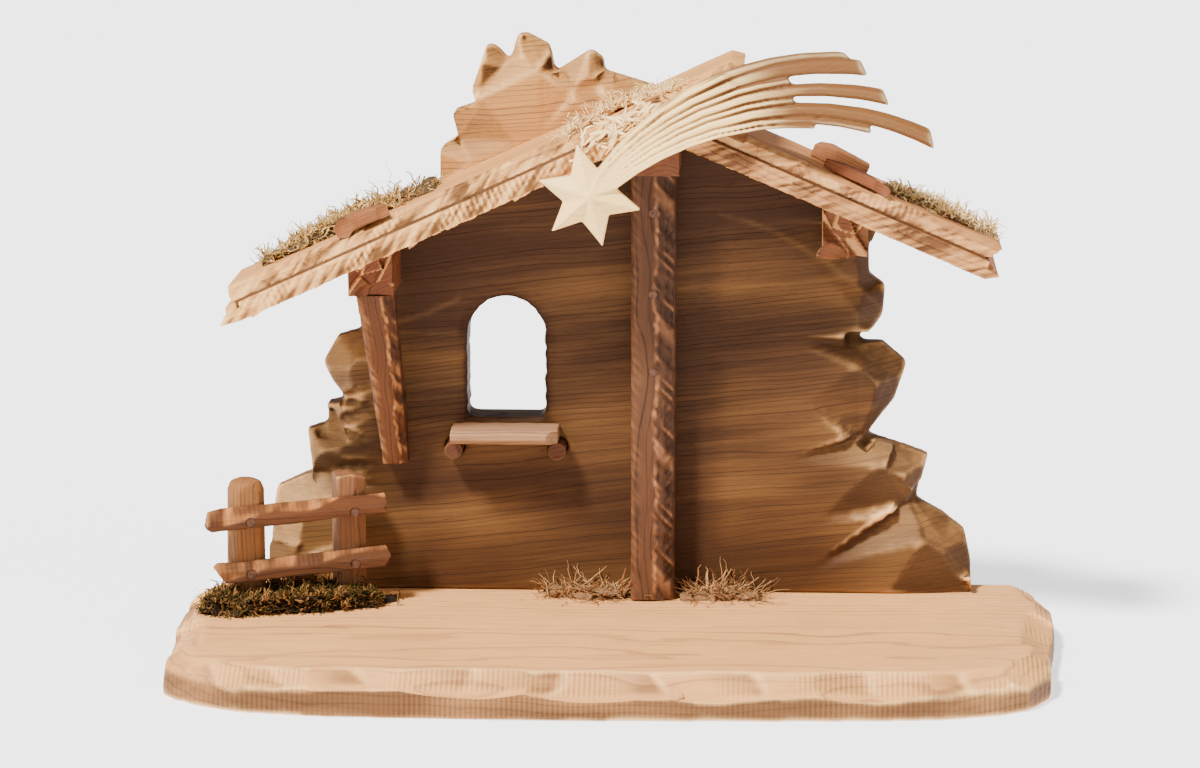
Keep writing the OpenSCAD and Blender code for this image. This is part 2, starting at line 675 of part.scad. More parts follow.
module right_ledge_chip_back() {
    color("peru") right_slope()
        translate([right_chip_u - back_chip_lead, roof_d * back_chip_y_share, roof_t])
            slab_chip(back_chip_len, back_chip_d, back_chip_h, back_chip_shares, 0.8);
}

// Comet: one carved piece, its flat back on the roof's front edge. X runs right and Y
// up from the star's centre, Z towards the front.
star_x = ridge_x - star_offset;
star_z = ridge_z - star_drop;
star_points = 6;
// The point at this angle runs over into the tail
star_turn = 44;
half_step = 180 / star_points;
star_last = 2 * star_points - 1;
function star_ring(z) = [for (i = [2 : star_last - 1])
    let (r = i % 2 == 0 ? star_r : star_notch_r, a = star_turn + i * half_step)
    [r * cos(a), r * sin(a), z]];

// The tail's ribs lie side by side. Their edges are arcs that leave the star between
// two notches and spread: where each edge ends, as shares of the tail's length right
// of and above the star's centre, and its arc's radius as a share, upper edge first.
edge_shares = [[0.737, 0.422, 0.835], [0.794, 0.399, 0.89], [0.79, 0.353, 0.89],
    [0.861, 0.312, 0.864], [0.851, 0.27, 0.864], [1.008, 0.19, 0.845],
    [0.986, 0.146, 0.845], [0.823, 0.183, 0.839], [0.649, 0.198, 0.826]];
edges = len(edge_shares);
ribs = edges - 1;
// Rows across the tail, as shares of its length along the edges, and the row where
// each rib ends: the long ribs stand free as fingers past the ends of the short ones
row_shares = [0, 0.08, 0.16, 0.25, 0.34, 0.46, 0.475, 0.53, 0.6, 0.62, 0.7, 0.795,
    0.825, 0.855, 0.885, 0.94, 1];
rib_ends = [12, 13, 9, 14, 8, 16, 11, 9];
last_row = len(row_shares) - 1;
// The two upper ribs step down at this row
step_row = 5;
stepped_ribs = 2;
step_share = 0.78;
// A rib's flat crest starts and ends at these shares of its width
crest_shares = [0.3, 0.72];

function root_point(i) =
    let (dir = [cos(star_turn), sin(star_turn)], across = [-dir[1], dir[0]])
    star_notch_r * (dir * cos(half_step) + across * (1 - 2 * i / ribs) * sin(half_step));
// Centre of the arc of radius r that rises from s and falls to e
function arc_centre(s, e, r) =
    let (m = (s + e) / 2, d = norm(e - s) / 2, side = unit([e[1] - s[1], s[0] - e[0]]))
    m + side * sqrt(r * r - d * d);
function edge_point(i, k) =
    let (q = edge_shares[i], s = root_point(i), r = q[2] * tail_len,
         c = arc_centre(s, [q[0], q[1]] * tail_len, r),
         a = atan2(s[1] - c[1], s[0] - c[0]) - row_shares[k] * tail_len / r * 180 / PI)
    [c[0] + r * cos(a), c[1] + r * sin(a)];
function crest_h(i, k) =
    i < stepped_ribs && k <= step_row ? tail_h : tail_h * (i < stepped_ribs ? step_share : 0.9);
function raised(p, z) = [p[0], p[1], z];

// Points of one row: the edges' tops, two crest points for each rib, the edges' backs
row_points = edges + 2 * ribs + edges;
function tail_row(k) = concat(
    [for (i = [0 : ribs]) raised(edge_point(i, k), star_rim_t)],
    [for (i = [0 : ribs - 1], s = crest_shares)
        raised(edge_point(i, k) * (1 - s) + edge_point(i + 1, k) * s, crest_h(i, k))],
    [for (i = [0 : ribs]) raised(edge_point(i, k), 0)]);
function top_at(i, k) = k * row_points + i;
function crest_at(i, side, k) = k * row_points + edges + 2 * i + side;
function back_at(i, k) = k * row_points + edges + 2 * ribs + i;
function ends_before(i, k) = i < 0 || i >= ribs ? true : rib_ends[i] <= k;

// Strip of two triangles between two lines of points that run along the tail
function strip(a, b, c, d) = [[a, b, d], [a, d, c]];
function rib_faces(i) = [for (k = [0 : rib_ends[i] - 1]) each concat(
    strip(top_at(i, k), top_at(i, k + 1), crest_at(i, 0, k), crest_at(i, 0, k + 1)),
    strip(crest_at(i, 0, k), crest_at(i, 0, k + 1), crest_at(i, 1, k), crest_at(i, 1, k + 1)),
    strip(crest_at(i, 1, k), crest_at(i, 1, k + 1), top_at(i + 1, k), top_at(i + 1, k + 1)),
    [[back_at(i, k), back_at(i + 1, k), back_at(i + 1, k + 1), back_at(i, k + 1)]],
    ends_before(i - 1, k)
        ? strip(back_at(i, k), back_at(i, k + 1), top_at(i, k), top_at(i, k + 1)) : [],
    ends_before(i + 1, k)
        ? strip(top_at(i + 1, k), top_at(i + 1, k + 1), back_at(i + 1, k), back_at(i + 1, k + 1))
        : [])];
function rib_end_face(i) = let (k = rib_ends[i])
    [back_at(i + 1, k), top_at(i + 1, k), crest_at(i, 1, k), crest_at(i, 0, k),
     top_at(i, k), back_at(i, k)];

module comet_star() {
    tail_count = (last_row + 1) * row_points;
    ring = star_last - 2;
    peak = tail_count + 2 * ring;
    front = concat([top_at(0, 0)], [for (j = [0 : ring - 1]) tail_count + j], [top_at(ribs, 0)]);
    back = concat([back_at(0, 0)], [for (j = [0 : ring - 1]) tail_count + ring + j],
                  [back_at(ribs, 0)]);
    root = [for (i = [0 : ribs - 1]) each [top_at(i, 0), crest_at(i, 0, 0), crest_at(i, 1, 0)]];
    crown = concat(root, [top_at(ribs, 0)]);
    color("wheat") upright(roof_front_y) translate([star_x, star_z, 0]) polyhedron(
        points = concat([for (k = [0 : last_row]) each tail_row(k)],
                        star_ring(star_rim_t), star_ring(0), [[0, 0, star_h]]),
        faces = concat(
            [for (i = [0 : ribs - 1]) each rib_faces(i)],
            [for (i = [0 : ribs - 1]) rib_end_face(i)],
            [for (j = [0 : ring]) [front[j], peak, front[j + 1]]],
            [for (j = [0 : ring]) each strip(front[j], front[j + 1], back[j], back[j + 1])],
            [for (j = [0 : len(crown) - 2]) [peak, crown[j], crown[j + 1]]],
            [concat(back, [for (i = [ribs - 1 : -1 : 1]) back_at(i, 0)])]),
        convexity = star_points);
}

// Shelf under the window, on two pegs in the wall
shelf_gap = 1.6;
shelf_top_z = floor_z + window_sill - shelf_gap;
shelf_corner = 4;
shelf_bevel = 1.6;
module window_shelf() {
    h = shelf_w / 2;
    color("tan") intersection() {
        translate([window_x, wall_front_y, shelf_top_z - shelf_t]) linear_extrude(shelf_t)
            polygon([[-h, 0], [-h, -shelf_d], [h - shelf_corner, -shelf_d],
                     [h, -shelf_d + shelf_corner], [h, 0]]);
        translate([window_x - shelf_w, 0, shelf_top_z]) rotate([90, 0, 90])
            linear_extrude(2 * shelf_w)
                polygon([[wall_front_y, 0], [wall_front_y, -shelf_t],
                         [wall_front_y - shelf_d + shelf_bevel, -shelf_t],
                         [wall_front_y - shelf_d, -shelf_t * 0.7],
                         [wall_front_y - shelf_d, -shelf_t * 0.25],
                         [wall_front_y - shelf_d + shelf_bevel, 0]]);
    }
}
peg_in = wall_t * 0.5;
peg_z = shelf_top_z - shelf_t - peg_dia / 2 - seat;
module peg_place(side) {
    translate([window_x + side * (shelf_w / 2 - peg_dia * 0.1), wall_front_y, peg_z])
        rotate([90, 0, 0]) children();
}
module peg(extra) {
    translate([0, 0, -peg_in - extra])
        cylinder(h = peg_in + peg_out + extra, d = peg_dia + 2 * extra, $fn = round_sides);
}
module shelf_pegs() {
    color("sienna") for (side = [-1, 1]) peg_place(side) peg(0);
}

// Fence: place k = 0 is the left post, k = 1 the right one
fence_dir = [cos(fence_turn), sin(fence_turn), 0];
function fence_post_place(k) = [-base_half_w + fence_inset, fence_y, floor_z]
                               + fence_dir * fence_span * k;
module fence_frame() {
    translate([-base_half_w + fence_inset, fence_y, floor_z]) rotate([0, 0, fence_turn]) children();
}
module dowel() {
    translate([0, 0, -dowel_len / 2]) cylinder(h = dowel_len, d = dowel_dia, $fn = round_sides);
}
module dowel_bore() {
    translate([0, 0, -dowel_len / 2 - bore_clear])
        cylinder(h = dowel_len + 2 * bore_clear, d = dowel_dia + 2 * bore_clear, $fn = round_sides);
}
// Left post: a half round stake with a domed top. Right post: a squared stake.
post_dome = 4;
fence_flat = 1;
fence_face = fence_flat - fence_left_w / 2;
module fence_post_left() {
    r = fence_left_w / 2;
    color("peru") difference() {
        fence_frame() intersection() {
            rotate_extrude($fn = 2 * round_sides)
                polygon([[0, 0], [r, 0], [r * 0.96, fence_left_h - post_dome],
                         [r * 0.8, fence_left_h - post_dome * 0.3], [r * 0.4, fence_left_h],
                         [0, fence_left_h]]);
            translate([-r - over, fence_face, -over])
                cube([fence_left_w + 2 * over, fence_left_w, fence_left_h + 2 * over]);
        }
        translate(fence_post_place(0)) dowel_bore();
        for (i = [0 : 3]) fence_nail_place(i) nail_bore(fence_nail_len);
    }
}
module fence_post_right() {
    h = fence_right_w / 2;
    color("peru") difference() {
        fence_frame() translate([fence_span, 0, 0]) intersection() {
            linear_extrude(fence_right_h)
                polygon([[-h, fence_face], [h * 0.2, fence_face], [h, fence_face + h * 0.5],
                         [h, fence_face + fence_right_w], [-h, fence_face + fence_right_w]]);
            translate([0, fence_left_w, 0]) rotate([90, 0, 0]) linear_extrude(2 * fence_left_w)
                polygon([[-h, 0], [h, 0], [h, fence_right_h - post_dome * 0.5],
                         [0, fence_right_h], [-h, fence_right_h - post_dome * 0.2]]);
        }
        translate(fence_post_place(1)) dowel_bore();
        for (i = [0 : 3]) fence_nail_place(i) nail_bore(fence_nail_len);
    }
}

// Rails on the posts' front faces: side outlines in shares of length and height
rail_left_over = 16;
rail_right_over = 12;
rail_len = fence_span + rail_left_over + rail_right_over;
top_rail_shares = [[0, -0.3], [0.03, -0.47], [0.5, -0.42], [0.72, -0.35], [1, -0.36],
    [0.98, -0.05], [1, 0.1], [0.995, 0.5], [0.4, 0.52], [0.1, 0.5], [0.02, 0.4]];
bottom_rail_shares = [[0.1, -0.5], [0.5, -0.48], [0.98, -0.42], [1.02, 0.1], [1, 0.5],
    [0.5, 0.42], [0.22, 0.36], [0.07, 0.42], [0.045, 0.2]];
// Slope of the rails: rise over their length
rail_rise = 3;
rail_bevel_share = 0.45;
module rail(z, shares, rise) {
    fence_frame() translate([-rail_left_over, fence_face - seat, z]) rotate([0, -atan(rise / rail_len), 0])
        difference() {
            rotate([90, 0, 0]) linear_extrude(rail_t)
                polygon([for (s = shares) [s[0] * rail_len, s[1] * rail_h]]);
            // Hewn bevel along the top front edge
            translate([rail_len / 2, -rail_t, rail_h / 2]) rotate([0, 0, -90])
                chip(rail_t * 0.8, rail_h * rail_bevel_share, rail_len * 1.1);
        }
}
module fence_rail_top() {
    color("sienna") difference() {
        rail(rail_high_z, top_rail_shares, rail_rise);
        for (i = [0 : 3]) fence_nail_place(i) nail_bore(fence_nail_len);
    }
}
module fence_rail_bottom() {
    color("sienna") difference() {
        rail(rail_low_z, bottom_rail_shares, rail_rise);
        for (i = [0 : 3]) fence_nail_place(i) nail_bore(fence_nail_len);
    }
}
fence_nail_len = rail_t + fence_right_w * 0.6;
// Nail i: 0 and 1 in the upper rail, 2 and 3 in the lower one
module fence_nail_place(i) {
    along = (i % 2) * fence_span;
    z = i < 2 ? rail_high_z : rail_low_z;
    rise = rail_rise * (along + rail_left_over) / rail_len;
    fence_frame() translate([along, fence_face - seat - rail_t, z + rise - rail_h * 0.15])
        rotate([-90, 0, 0]) children();
}

// Moss bed under the fence: a low mound, cut round the posts and the lower rail
bed_shares = [[-0.04, 0.1], [0.12, -0.2], [0.6, -0.22], [1.02, 0], [1.08, 0.6], [0.7, 1], [0.05, 0.95]];
bed_d = 30;
module moss_bed_fence() {
    color("olivedrab") difference() {
        fence_frame() translate([-rail_left_over, fence_face - rail_t - bed_d * 0.12, 0])
            linear_extrude(moss_bed_h, scale = 0.9)
                polygon([for (s = bed_shares) [s[0] * rail_len, s[1] * bed_d * 0.8]]);
        translate(fence_post_place(0)) translate([0, 0, -over])
            cylinder(h = fence_left_h, d = fence_left_w + 2 * bed_clear, $fn = 2 * round_sides);
        translate([0, 0, -over]) linear_extrude(fence_left_h) fence_right_footprint();
        translate([-base_w, wall_front_y - bed_clear, 0]) cube([2 * base_w, base_d, fence_left_h]);
        rail_channel();
    }
}
module fence_right_footprint() {
    p = fence_post_place(1);
    h = fence_right_w / 2 + bed_clear;
    translate([p[0], p[1]]) rotate(fence_turn)
        translate([-h, fence_face - bed_clear]) square([2 * h, fence_right_w + 2 * bed_clear]);
}
// Space of the lower rail, with clearance, down to the bed's ground
module rail_channel() {
    fence_frame() translate([-rail_left_over - 2 * bed_clear, fence_face - rail_t - seat - bed_clear,
                             rail_low_z - rail_h / 2 - bed_clear])
        cube([rail_len + 4 * bed_clear, rail_t + seat + bed_clear, rail_h * 2]);
}

// Moss and straw on the roof: low mounds, profiles in shares of length and height
mound_shares = [[0, 0], [1, 0], [0.93, 0.45], [0.7, 0.7], [0.45, 1], [0.25, 0.8], [0.08, 0.4]];
module mound(len, depth, height) {
    translate([0, depth, 0]) rotate([90, 0, 0]) linear_extrude(depth)
        polygon([for (s = mound_shares) [s[0] * len, s[1] * height]]);
}
moss_left_len = 66;
moss_left_u = 146;
moss_back_share = 0.45;
module moss_roof_left() {
    color("olivedrab") left_slope() difference() {
        translate([-moss_left_u, roof_d * moss_back_share, roof_t])
            mound(moss_left_len, roof_d * (1 - moss_back_share), moss_roof_h);
        translate([-left_chip_u - bed_clear, 0, roof_t])
            cube([left_chip_len + 2 * bed_clear, roof_d * left_chip_y_share + left_chip_d + bed_clear,
                  2 * moss_roof_h]);
    }
}
moss_right_len = 42;
moss_right_u = right_chip_u + right_chip_len * 0.95;
module moss_roof_right() {
    color("darkkhaki") right_slope()
        translate([moss_right_u + bed_clear, roof_d * 0.4, roof_t])
            mound(moss_right_len, roof_d * 0.5, moss_roof_h * 0.5);
}
straw_ridge_len = 52;
straw_ridge_u = 34;
module straw_ridge() {
    color("khaki") left_slope() translate([-straw_ridge_u, roof_d * 0.2, roof_t])
        mound(straw_ridge_len, roof_d * 0.3, straw_ridge_h);
}
// Straw at the wall's foot, left and right of the post
straw_d = 12;
straw_w = 30;
module straw_floor() {
    color("khaki") for (side = [-1, 1])
        translate([post_x + side * (post_w / 2 + bed_clear + straw_w / 2),
                   wall_front_y - bed_clear, floor_z])
            translate([-straw_w / 2, -straw_d, 0]) mound(straw_w, straw_d, straw_floor_h);
}

module base_screws() {
    color("silver") for (x = base_screw_xs) translate([x, base_screw_y, 0]) screw(screw_len);
}
module purlin_screws() {
    color("silver") for (i = [0 : 2]) purlin_screw_place(i) screw(purlin_screw_len);
}
module roof_brads() {
    color("gray") {
        for (u = [brad_left_u, brad_ridge_u], y = brad_ys) left_brad_place(u, y) nail(brad_len);
        for (y = brad_ys) right_brad_place(brad_right_u, y) nail(brad_len);
    }
}
module post_nails() {
    color("gray") for (z = post_nail_zs) post_nail_place(z) nail(post_nail_len);
}
module brace_nail() {
    color("gray") brace_nail_place() nail(brace_nail_len);
}
module fence_nails() {
    color("gray") for (i = [0 : 3]) fence_nail_place(i) nail(fence_nail_len);
}
module fence_dowels() {
    color("wheat") for (k = [0, 1]) translate(fence_post_place(k)) dowel();
}

base_board();
back_wall();
ridge_purlin();
left_purlin();
right_purlin();
centre_post();
left_brace();
roof_left_lower();
roof_left_upper();
roof_right_lower();
roof_right_upper();
left_ledge_chip();
right_ledge_chip_front();
right_ledge_chip_back();
comet_star();
window_shelf();
shelf_pegs();
fence_post_left();
fence_post_right();
fence_rail_top();
fence_rail_bottom();
moss_bed_fence();
moss_roof_left();
moss_roof_right();
straw_ridge();
straw_floor();
base_screws();
purlin_screws();
roof_brads();
post_nails();
brace_nail();
fence_nails();
fence_dowels();
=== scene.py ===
# %% [markdown]
# # A carved wooden stable
# The object is a carver's stable that stands on a shelf at Christmas: a thick base
# board, a thick back wall sawn and chipped into lobes, a double-boarded roof on short
# beams, a post, a brace, a fence, a comet and some loose moss and straw. Nearly all of
# it is wood, so the lesson is about two things: cutting wood with planes, the way a
# chisel does, and giving it grain that runs through the solid.
# The measured model is in metres, +Z up, and its open front faces -Y. Sizes and places
# below are in millimetres, and `MM` turns them into metres.

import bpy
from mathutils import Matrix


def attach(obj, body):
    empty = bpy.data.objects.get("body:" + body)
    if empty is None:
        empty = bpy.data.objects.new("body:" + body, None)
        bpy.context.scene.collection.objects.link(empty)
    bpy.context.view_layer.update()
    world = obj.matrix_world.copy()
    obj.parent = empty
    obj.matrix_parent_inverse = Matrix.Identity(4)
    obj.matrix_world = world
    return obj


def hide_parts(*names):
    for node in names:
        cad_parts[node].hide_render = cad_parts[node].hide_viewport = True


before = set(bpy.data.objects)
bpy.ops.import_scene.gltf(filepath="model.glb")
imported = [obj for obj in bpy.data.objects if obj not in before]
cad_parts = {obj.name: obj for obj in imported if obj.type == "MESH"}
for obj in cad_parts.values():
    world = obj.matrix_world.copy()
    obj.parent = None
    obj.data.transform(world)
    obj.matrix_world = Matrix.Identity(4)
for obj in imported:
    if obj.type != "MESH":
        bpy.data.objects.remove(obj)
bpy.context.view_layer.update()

# %% Modules
import math

import bmesh
import bpy
import numpy as np
from mathutils import Matrix, Vector

MM = 0.001

# %% [markdown]
# ## The camera
# The photograph was taken from a little right of the middle and from slightly above,
# with a long lens. A camera's matrix has its right, up and backward directions as
# columns, so the three measured directions go straight in.

# %% Camera
lens_data = bpy.data.cameras.new("photo_camera")
lens_data.sensor_width = 36
lens_data.lens = 128.4
photo_camera = bpy.data.objects.new("photo_camera", lens_data)
stand = Vector((0.0617, -1.4362, 0.3732))
look = Vector((-0.04507, 0.98136, -0.18686)).normalized()
right = Vector((0.99895, 0.04588, 0)).normalized()
up = right.cross(look).normalized()
photo_camera.matrix_world = Matrix((
    (right.x, up.x, -look.x, stand.x),
    (right.y, up.y, -look.y, stand.y),
    (right.z, up.z, -look.z, stand.z),
    (0, 0, 0, 1)))
bpy.context.scene.collection.objects.link(photo_camera)
bpy.context.scene.camera = photo_camera
print("camera", round(lens_data.lens, 1), "mm lens")

# %% [markdown]
# ## Light and floor
# A studio's soft light: a broad sun-like source from the front left, high enough that
# the roof shades the room under it, a weak one from the right, and a bright white
# surrounding. The floor is plain and pale, and glows a little as a white sweep does.

# %% Lights and surrounding
def soft_sun(name, towards, strength, spread):
    data = bpy.data.lights.new(name, "SUN")
    data.energy, data.angle = strength, math.radians(spread)
    lamp = bpy.data.objects.new(name, data)
    lamp.rotation_euler = Vector(towards).to_track_quat("-Z", "Y").to_euler()
    bpy.context.scene.collection.objects.link(lamp)


soft_sun("front_left_light", (0.44, 0.56, -0.92), 9.6, 9)
soft_sun("right_light", (-0.8, 0.6, -0.45), 0.7, 40)

surrounding = bpy.data.worlds.new("white_studio")
surrounding.use_nodes = True
sky = surrounding.node_tree.nodes["Background"]
sky.inputs["Color"].default_value = (1, 1, 1, 1)
sky.inputs["Strength"].default_value = 0.5
bpy.context.scene.world = surrounding
print("two lights and a white surrounding")

# %% Floor
FLOOR_LEVEL = -0.2 * MM          # just under the base, so that the two never touch
floor_mesh = bpy.data.meshes.new("studio_floor")
floor_mesh.from_pydata([(x, y, FLOOR_LEVEL) for x, y in ((-6, -6), (6, -6), (6, 8), (-6, 8))],
                       [], [(0, 1, 2, 3)])
studio_floor = bpy.data.objects.new("studio_floor", floor_mesh)
bpy.context.scene.collection.objects.link(studio_floor)

floor_paint = bpy.data.materials.new("pale_floor")
floor_paint.use_nodes = True
paint = floor_paint.node_tree.nodes["Principled BSDF"]
paint.inputs["Base Color"].default_value = (0.9, 0.9, 0.9, 1)
paint.inputs["Roughness"].default_value = 0.9
paint.inputs["Emission Strength"].default_value = 1.2
floor_mesh.materials.append(floor_paint)
print("a pale floor, 12 by 14 m")

# %% [markdown]
# ## Shader arithmetic
# A `Shade` is one socket of a material. Adding or multiplying two of them makes the
# Math node, so that a formula below reads like a formula. `Finish` is one material; its
# method `node` makes any other node, and plain numbers go straight onto its inputs.

# %% Shade
class Shade:
    """One socket of a finish; arithmetic on it adds Math nodes."""
    def __init__(self, finish, socket):
        self.finish, self.socket = finish, socket

    def maths(self, operation, *others):
        return self.finish.node("Math", dict(enumerate((self,) + others)), operation=operation)

    def __add__(self, other): return self.maths("ADD", other)
    def __sub__(self, other): return self.maths("SUBTRACT", other)
    def __mul__(self, other): return self.maths("MULTIPLY", other)
    def __rsub__(self, other): return (self * -1) + other
    __radd__, __rmul__ = __add__, __mul__

    def sine(self): return self.maths("SINE")
    def floor(self): return self.maths("FLOOR")
    def fraction(self): return self.maths("FRACT")

    def fade(self, start, end, low=0.0, high=1.0):
        """Smooth step from `low` at `start` to `high` at `end`."""
        return self.finish.node("MapRange", {"Value": self, "From Min": start, "From Max": end,
                                             "To Min": low, "To Max": high},
                                interpolation_type="SMOOTHSTEP")


print("Shade ready")

# %% Finish
def srgb(colour):
    """Screen colour 0-255 as the linear colour that a shader needs."""
    parts = [c / 255 for c in colour]
    return tuple(c / 12.92 if c <= 0.04045 else ((c + 0.055) / 1.055) ** 2.4 for c in parts) + (1,)


class Finish:
    """One material, for the material slot of one measured node."""
    def __init__(self, name, slot, rough, specular):
        self.material = bpy.data.materials.new(name)
        self.material.use_nodes = True
        self.tree = self.material.node_tree
        self.shader = self.tree.nodes["Principled BSDF"]
        self.shader.inputs["Roughness"].default_value = rough
        self.shader.inputs["Specular IOR Level"].default_value = specular
        self.slot = slot

    def node(self, kind, inputs=None, output=0, **settings):
        made = self.tree.nodes.new("ShaderNode" + kind)
        for key, value in settings.items():
            setattr(made, key, value)
        for key, value in (inputs or {}).items():
            self.feed(made.inputs[key], value)
        return Shade(self, made.outputs[output])

    def feed(self, socket, value):
        if isinstance(value, Shade):
            self.tree.links.new(value.socket, socket)
        else:
            socket.default_value = value

    def paint(self, **values):
        """Feed the shader's own sockets, such as Base_Color or Normal."""
        for name, value in values.items():
            self.feed(self.shader.inputs[name.replace("_", " ")], value)

    def millimetres(self, turn=(0, 0, 0), stretch=(1, 1, 1)):
        """Object coordinates in millimetres, turned by degrees, then stretched."""
        place = self.node("TexCoord", output="Object")
        turned = self.node("Mapping", {"Vector": place, "Scale": (1 / MM, 1 / MM, 1 / MM),
                                       "Rotation": [math.radians(a) for a in turn]})
        return self.node("Mapping", {"Vector": turned, "Scale": stretch})

    def noise(self, where, scale=1.0, detail=2.0, rough=0.5, distortion=0.0):
        return self.node("TexNoise", {"Vector": where, "Scale": scale, "Detail": detail,
                                      "Roughness": rough, "Distortion": distortion})

    def read(self, attribute):
        return self.node("Attribute", output="Fac", attribute_name=attribute)

    def blend(self, factor, first, second, mode="MIX"):
        """Colour mix; a colour is a Shade or a screen colour."""
        first, second = (c if isinstance(c, Shade) else srgb(c) for c in (first, second))
        return self.node("Mix", {0: factor, 6: first, 7: second}, 2, data_type="RGBA",
                         blend_type=mode)


print("Finish ready")

# %% [markdown]
# ## Wood that is solid
# A board is a slice of a trunk. The recipe measures each point's distance from the
# trunk's middle line, the pith, and a wandering value is added, so the growth rings run
# through the whole piece: every facet that a chisel opens cuts them at its own angle
# and shows its own lines. Each ring gets a sharp dark latewood line of its own strength.
# Fibres, pores and a broad mottle are stretched along the grain, which is the local X
# after the turn. Three values come from the mesh: `pale_and_highlight` is high on worn or
# freshly cut edges and where a highlight is painted, `stain_and_shade` is high where the
# brown wash has stayed and where shade is painted, and `comb` shows the fine ripples that
# a blunt gouge leaves across its cut.

# %% The wood recipe
# Cells of noise per millimetre, along the grain and twice across it
WANDER, FIBRE, STREAK = (0.012, 0.05, 0.05), (0.07, 1.6, 1.6), (0.015, 0.28, 0.28)
PATCH, PORES = (0.025, 0.045, 0.045), (0.22, 3.2, 3.2)
RIPPLE = 1.7                     # millimetres from one ripple of a gouge to the next
WANDER_WIDTH = 9                 # millimetres that a ring can stray
BUMP_HEIGHT = 0.22 * MM


def latewood(finish, turn, pith, ring):
    """The dark line at the outer side of each growth ring."""
    offset = finish.node("Mapping", {"Vector": finish.millimetres(turn), "Scale": (0, 1, 1),
                                     "Location": (0, -pith[0], -pith[1])})
    distance = finish.node("VectorMath", {0: offset}, output="Value", operation="LENGTH")
    wander = finish.noise(finish.millimetres(turn, WANDER), 1, 2)
    rings = distance * (1 / ring) + wander * (WANDER_WIDTH / ring)
    strength = finish.node("TexWhiteNoise", {"W": rings.floor()}, noise_dimensions="1D")
    across = rings.fraction()
    return across.fade(0.66, 0.93) * (1 - across.fade(0.94, 1.0)) * (0.2 + 0.9 * strength)


def wood(name, slot, turn=(0, 0, 0), pith=(0, -60), ring=1.8, light=(205, 165, 130),
         dark=(150, 105, 75), edge=(232, 202, 170), wash_and_shade=(120, 112, 106), ring_depth=0.55,
         mottle=0.5, rough=0.62):
    finish = Finish(name, slot, rough, 0.14)
    late = latewood(finish, turn, pith, ring)
    fibre = finish.noise(finish.millimetres(turn, FIBRE), 1, 3, 0.6)
    streak = finish.noise(finish.millimetres(turn, STREAK), 1, 3, 0.55)
    patch = finish.noise(finish.millimetres(turn, PATCH), 1, 3, 0.6, 0.6)
    pores = finish.noise(finish.millimetres(turn, PORES), 1, 1).fade(0.64, 0.74)
    along = finish.node("SeparateXYZ", {0: finish.millimetres(turn)})
    comb = (along * (2 * math.pi / RIPPLE)).sine() * finish.read("comb")

    depth = (0.22 + ring_depth * late + 0.5 * (fibre - 0.5) + 0.9 * mottle * (streak - 0.5)
             + 1.5 * mottle * (patch - 0.5) + 0.22 * pores + 0.22 * comb)
    colour = finish.blend(depth.fade(-0.15, 1.0), light, dark)
    # The stain value holds the brown wash and also painted shade, darkened towards the wash colour; the
    # pale value holds worn edges and also painted highlights.
    stain_and_shade = finish.read("stain_and_shade") * (0.8 + 0.4 * streak)
    colour = finish.blend(stain_and_shade.fade(0, 1), colour, finish.blend(1.0, colour, wash_and_shade, "MULTIPLY"))
    pale_and_highlight = finish.read("pale_and_highlight") * (0.6 + 0.7 * fibre)
    colour = finish.blend(pale_and_highlight.fade(0, 1), colour, edge)
    height = 0.5 * fibre - 0.5 * late - 0.6 * pores - 1.2 * comb
    bump = finish.node("Bump", {"Height": height, "Strength": 0.5, "Distance": BUMP_HEIGHT})
    finish.paint(Base_Color=colour, Roughness=depth.fade(0, 1, rough - 0.08, rough + 0.12),
                 Normal=bump)
    return finish


print("wood recipe ready")

# %% [markdown]
# ## Uneven surfaces
# Hand work is never even. One lattice of random numbers with a fixed seed gives smooth
# noise at any size, so the same cuts and tones come out of every run.

# %% Smooth noise
NOISE_CELLS = 24
lattice = np.random.default_rng(11).random((NOISE_CELLS,) * 3)


def soft_noise(points, size, seed=0):
    """Value noise from -1 to 1 at each point; `size` is one cell in millimetres."""
    place = points / (np.asarray(size, float) * MM) + seed * np.array([3.71, 7.13, 5.37])
    cell = np.floor(place).astype(int)
    part = place - cell
    part = part * part * (3 - 2 * part)
    total = 0
    for corner in np.ndindex(2, 2, 2):
        weight = np.prod(np.where(corner, part, 1 - part), axis=1)
        i, j, k = ((cell + corner) % NOISE_CELLS).T
        total = total + weight * lattice[i, j, k]
    return total * 2 - 1


def ramp(values, start, end):
    """Smooth step from 0 at `start` to 1 at `end`."""
    part = np.clip((values - start) / (end - start), 0, 1)
    return part * part * (3 - 2 * part)


print("noise lattice of", lattice.size, "numbers")

# %% [markdown]
# ## A skin that can be cut
# A measured piece is copied, its loose triangles are welded, and a voxel remesh turns
# it into an even skin of fine quads. A modifier is enough for that: its result is
# taken as a plain mesh, and the helper object goes.

# %% Voxel skin
def read_points(mesh):
    flat = np.empty(len(mesh.vertices) * 3, np.float32)
    mesh.vertices.foreach_get("co", flat)
    return flat.reshape(-1, 3).astype(float)


def write_points(mesh, points):
    mesh.vertices.foreach_set("co", points.astype(np.float32).ravel())


def add_prism(shell, corners):
    """Close the two rims, which `corners` lists one after the other, to a solid."""
    added = [shell.verts.new(Vector(corner) * MM) for corner in corners]
    half = len(added) // 2
    for i in range(half):
        j = (i + 1) % half
        shell.faces.new((added[i], added[j], added[half + j], added[half + i]))
    shell.faces.new(added[:half][::-1])
    shell.faces.new(added[half:])


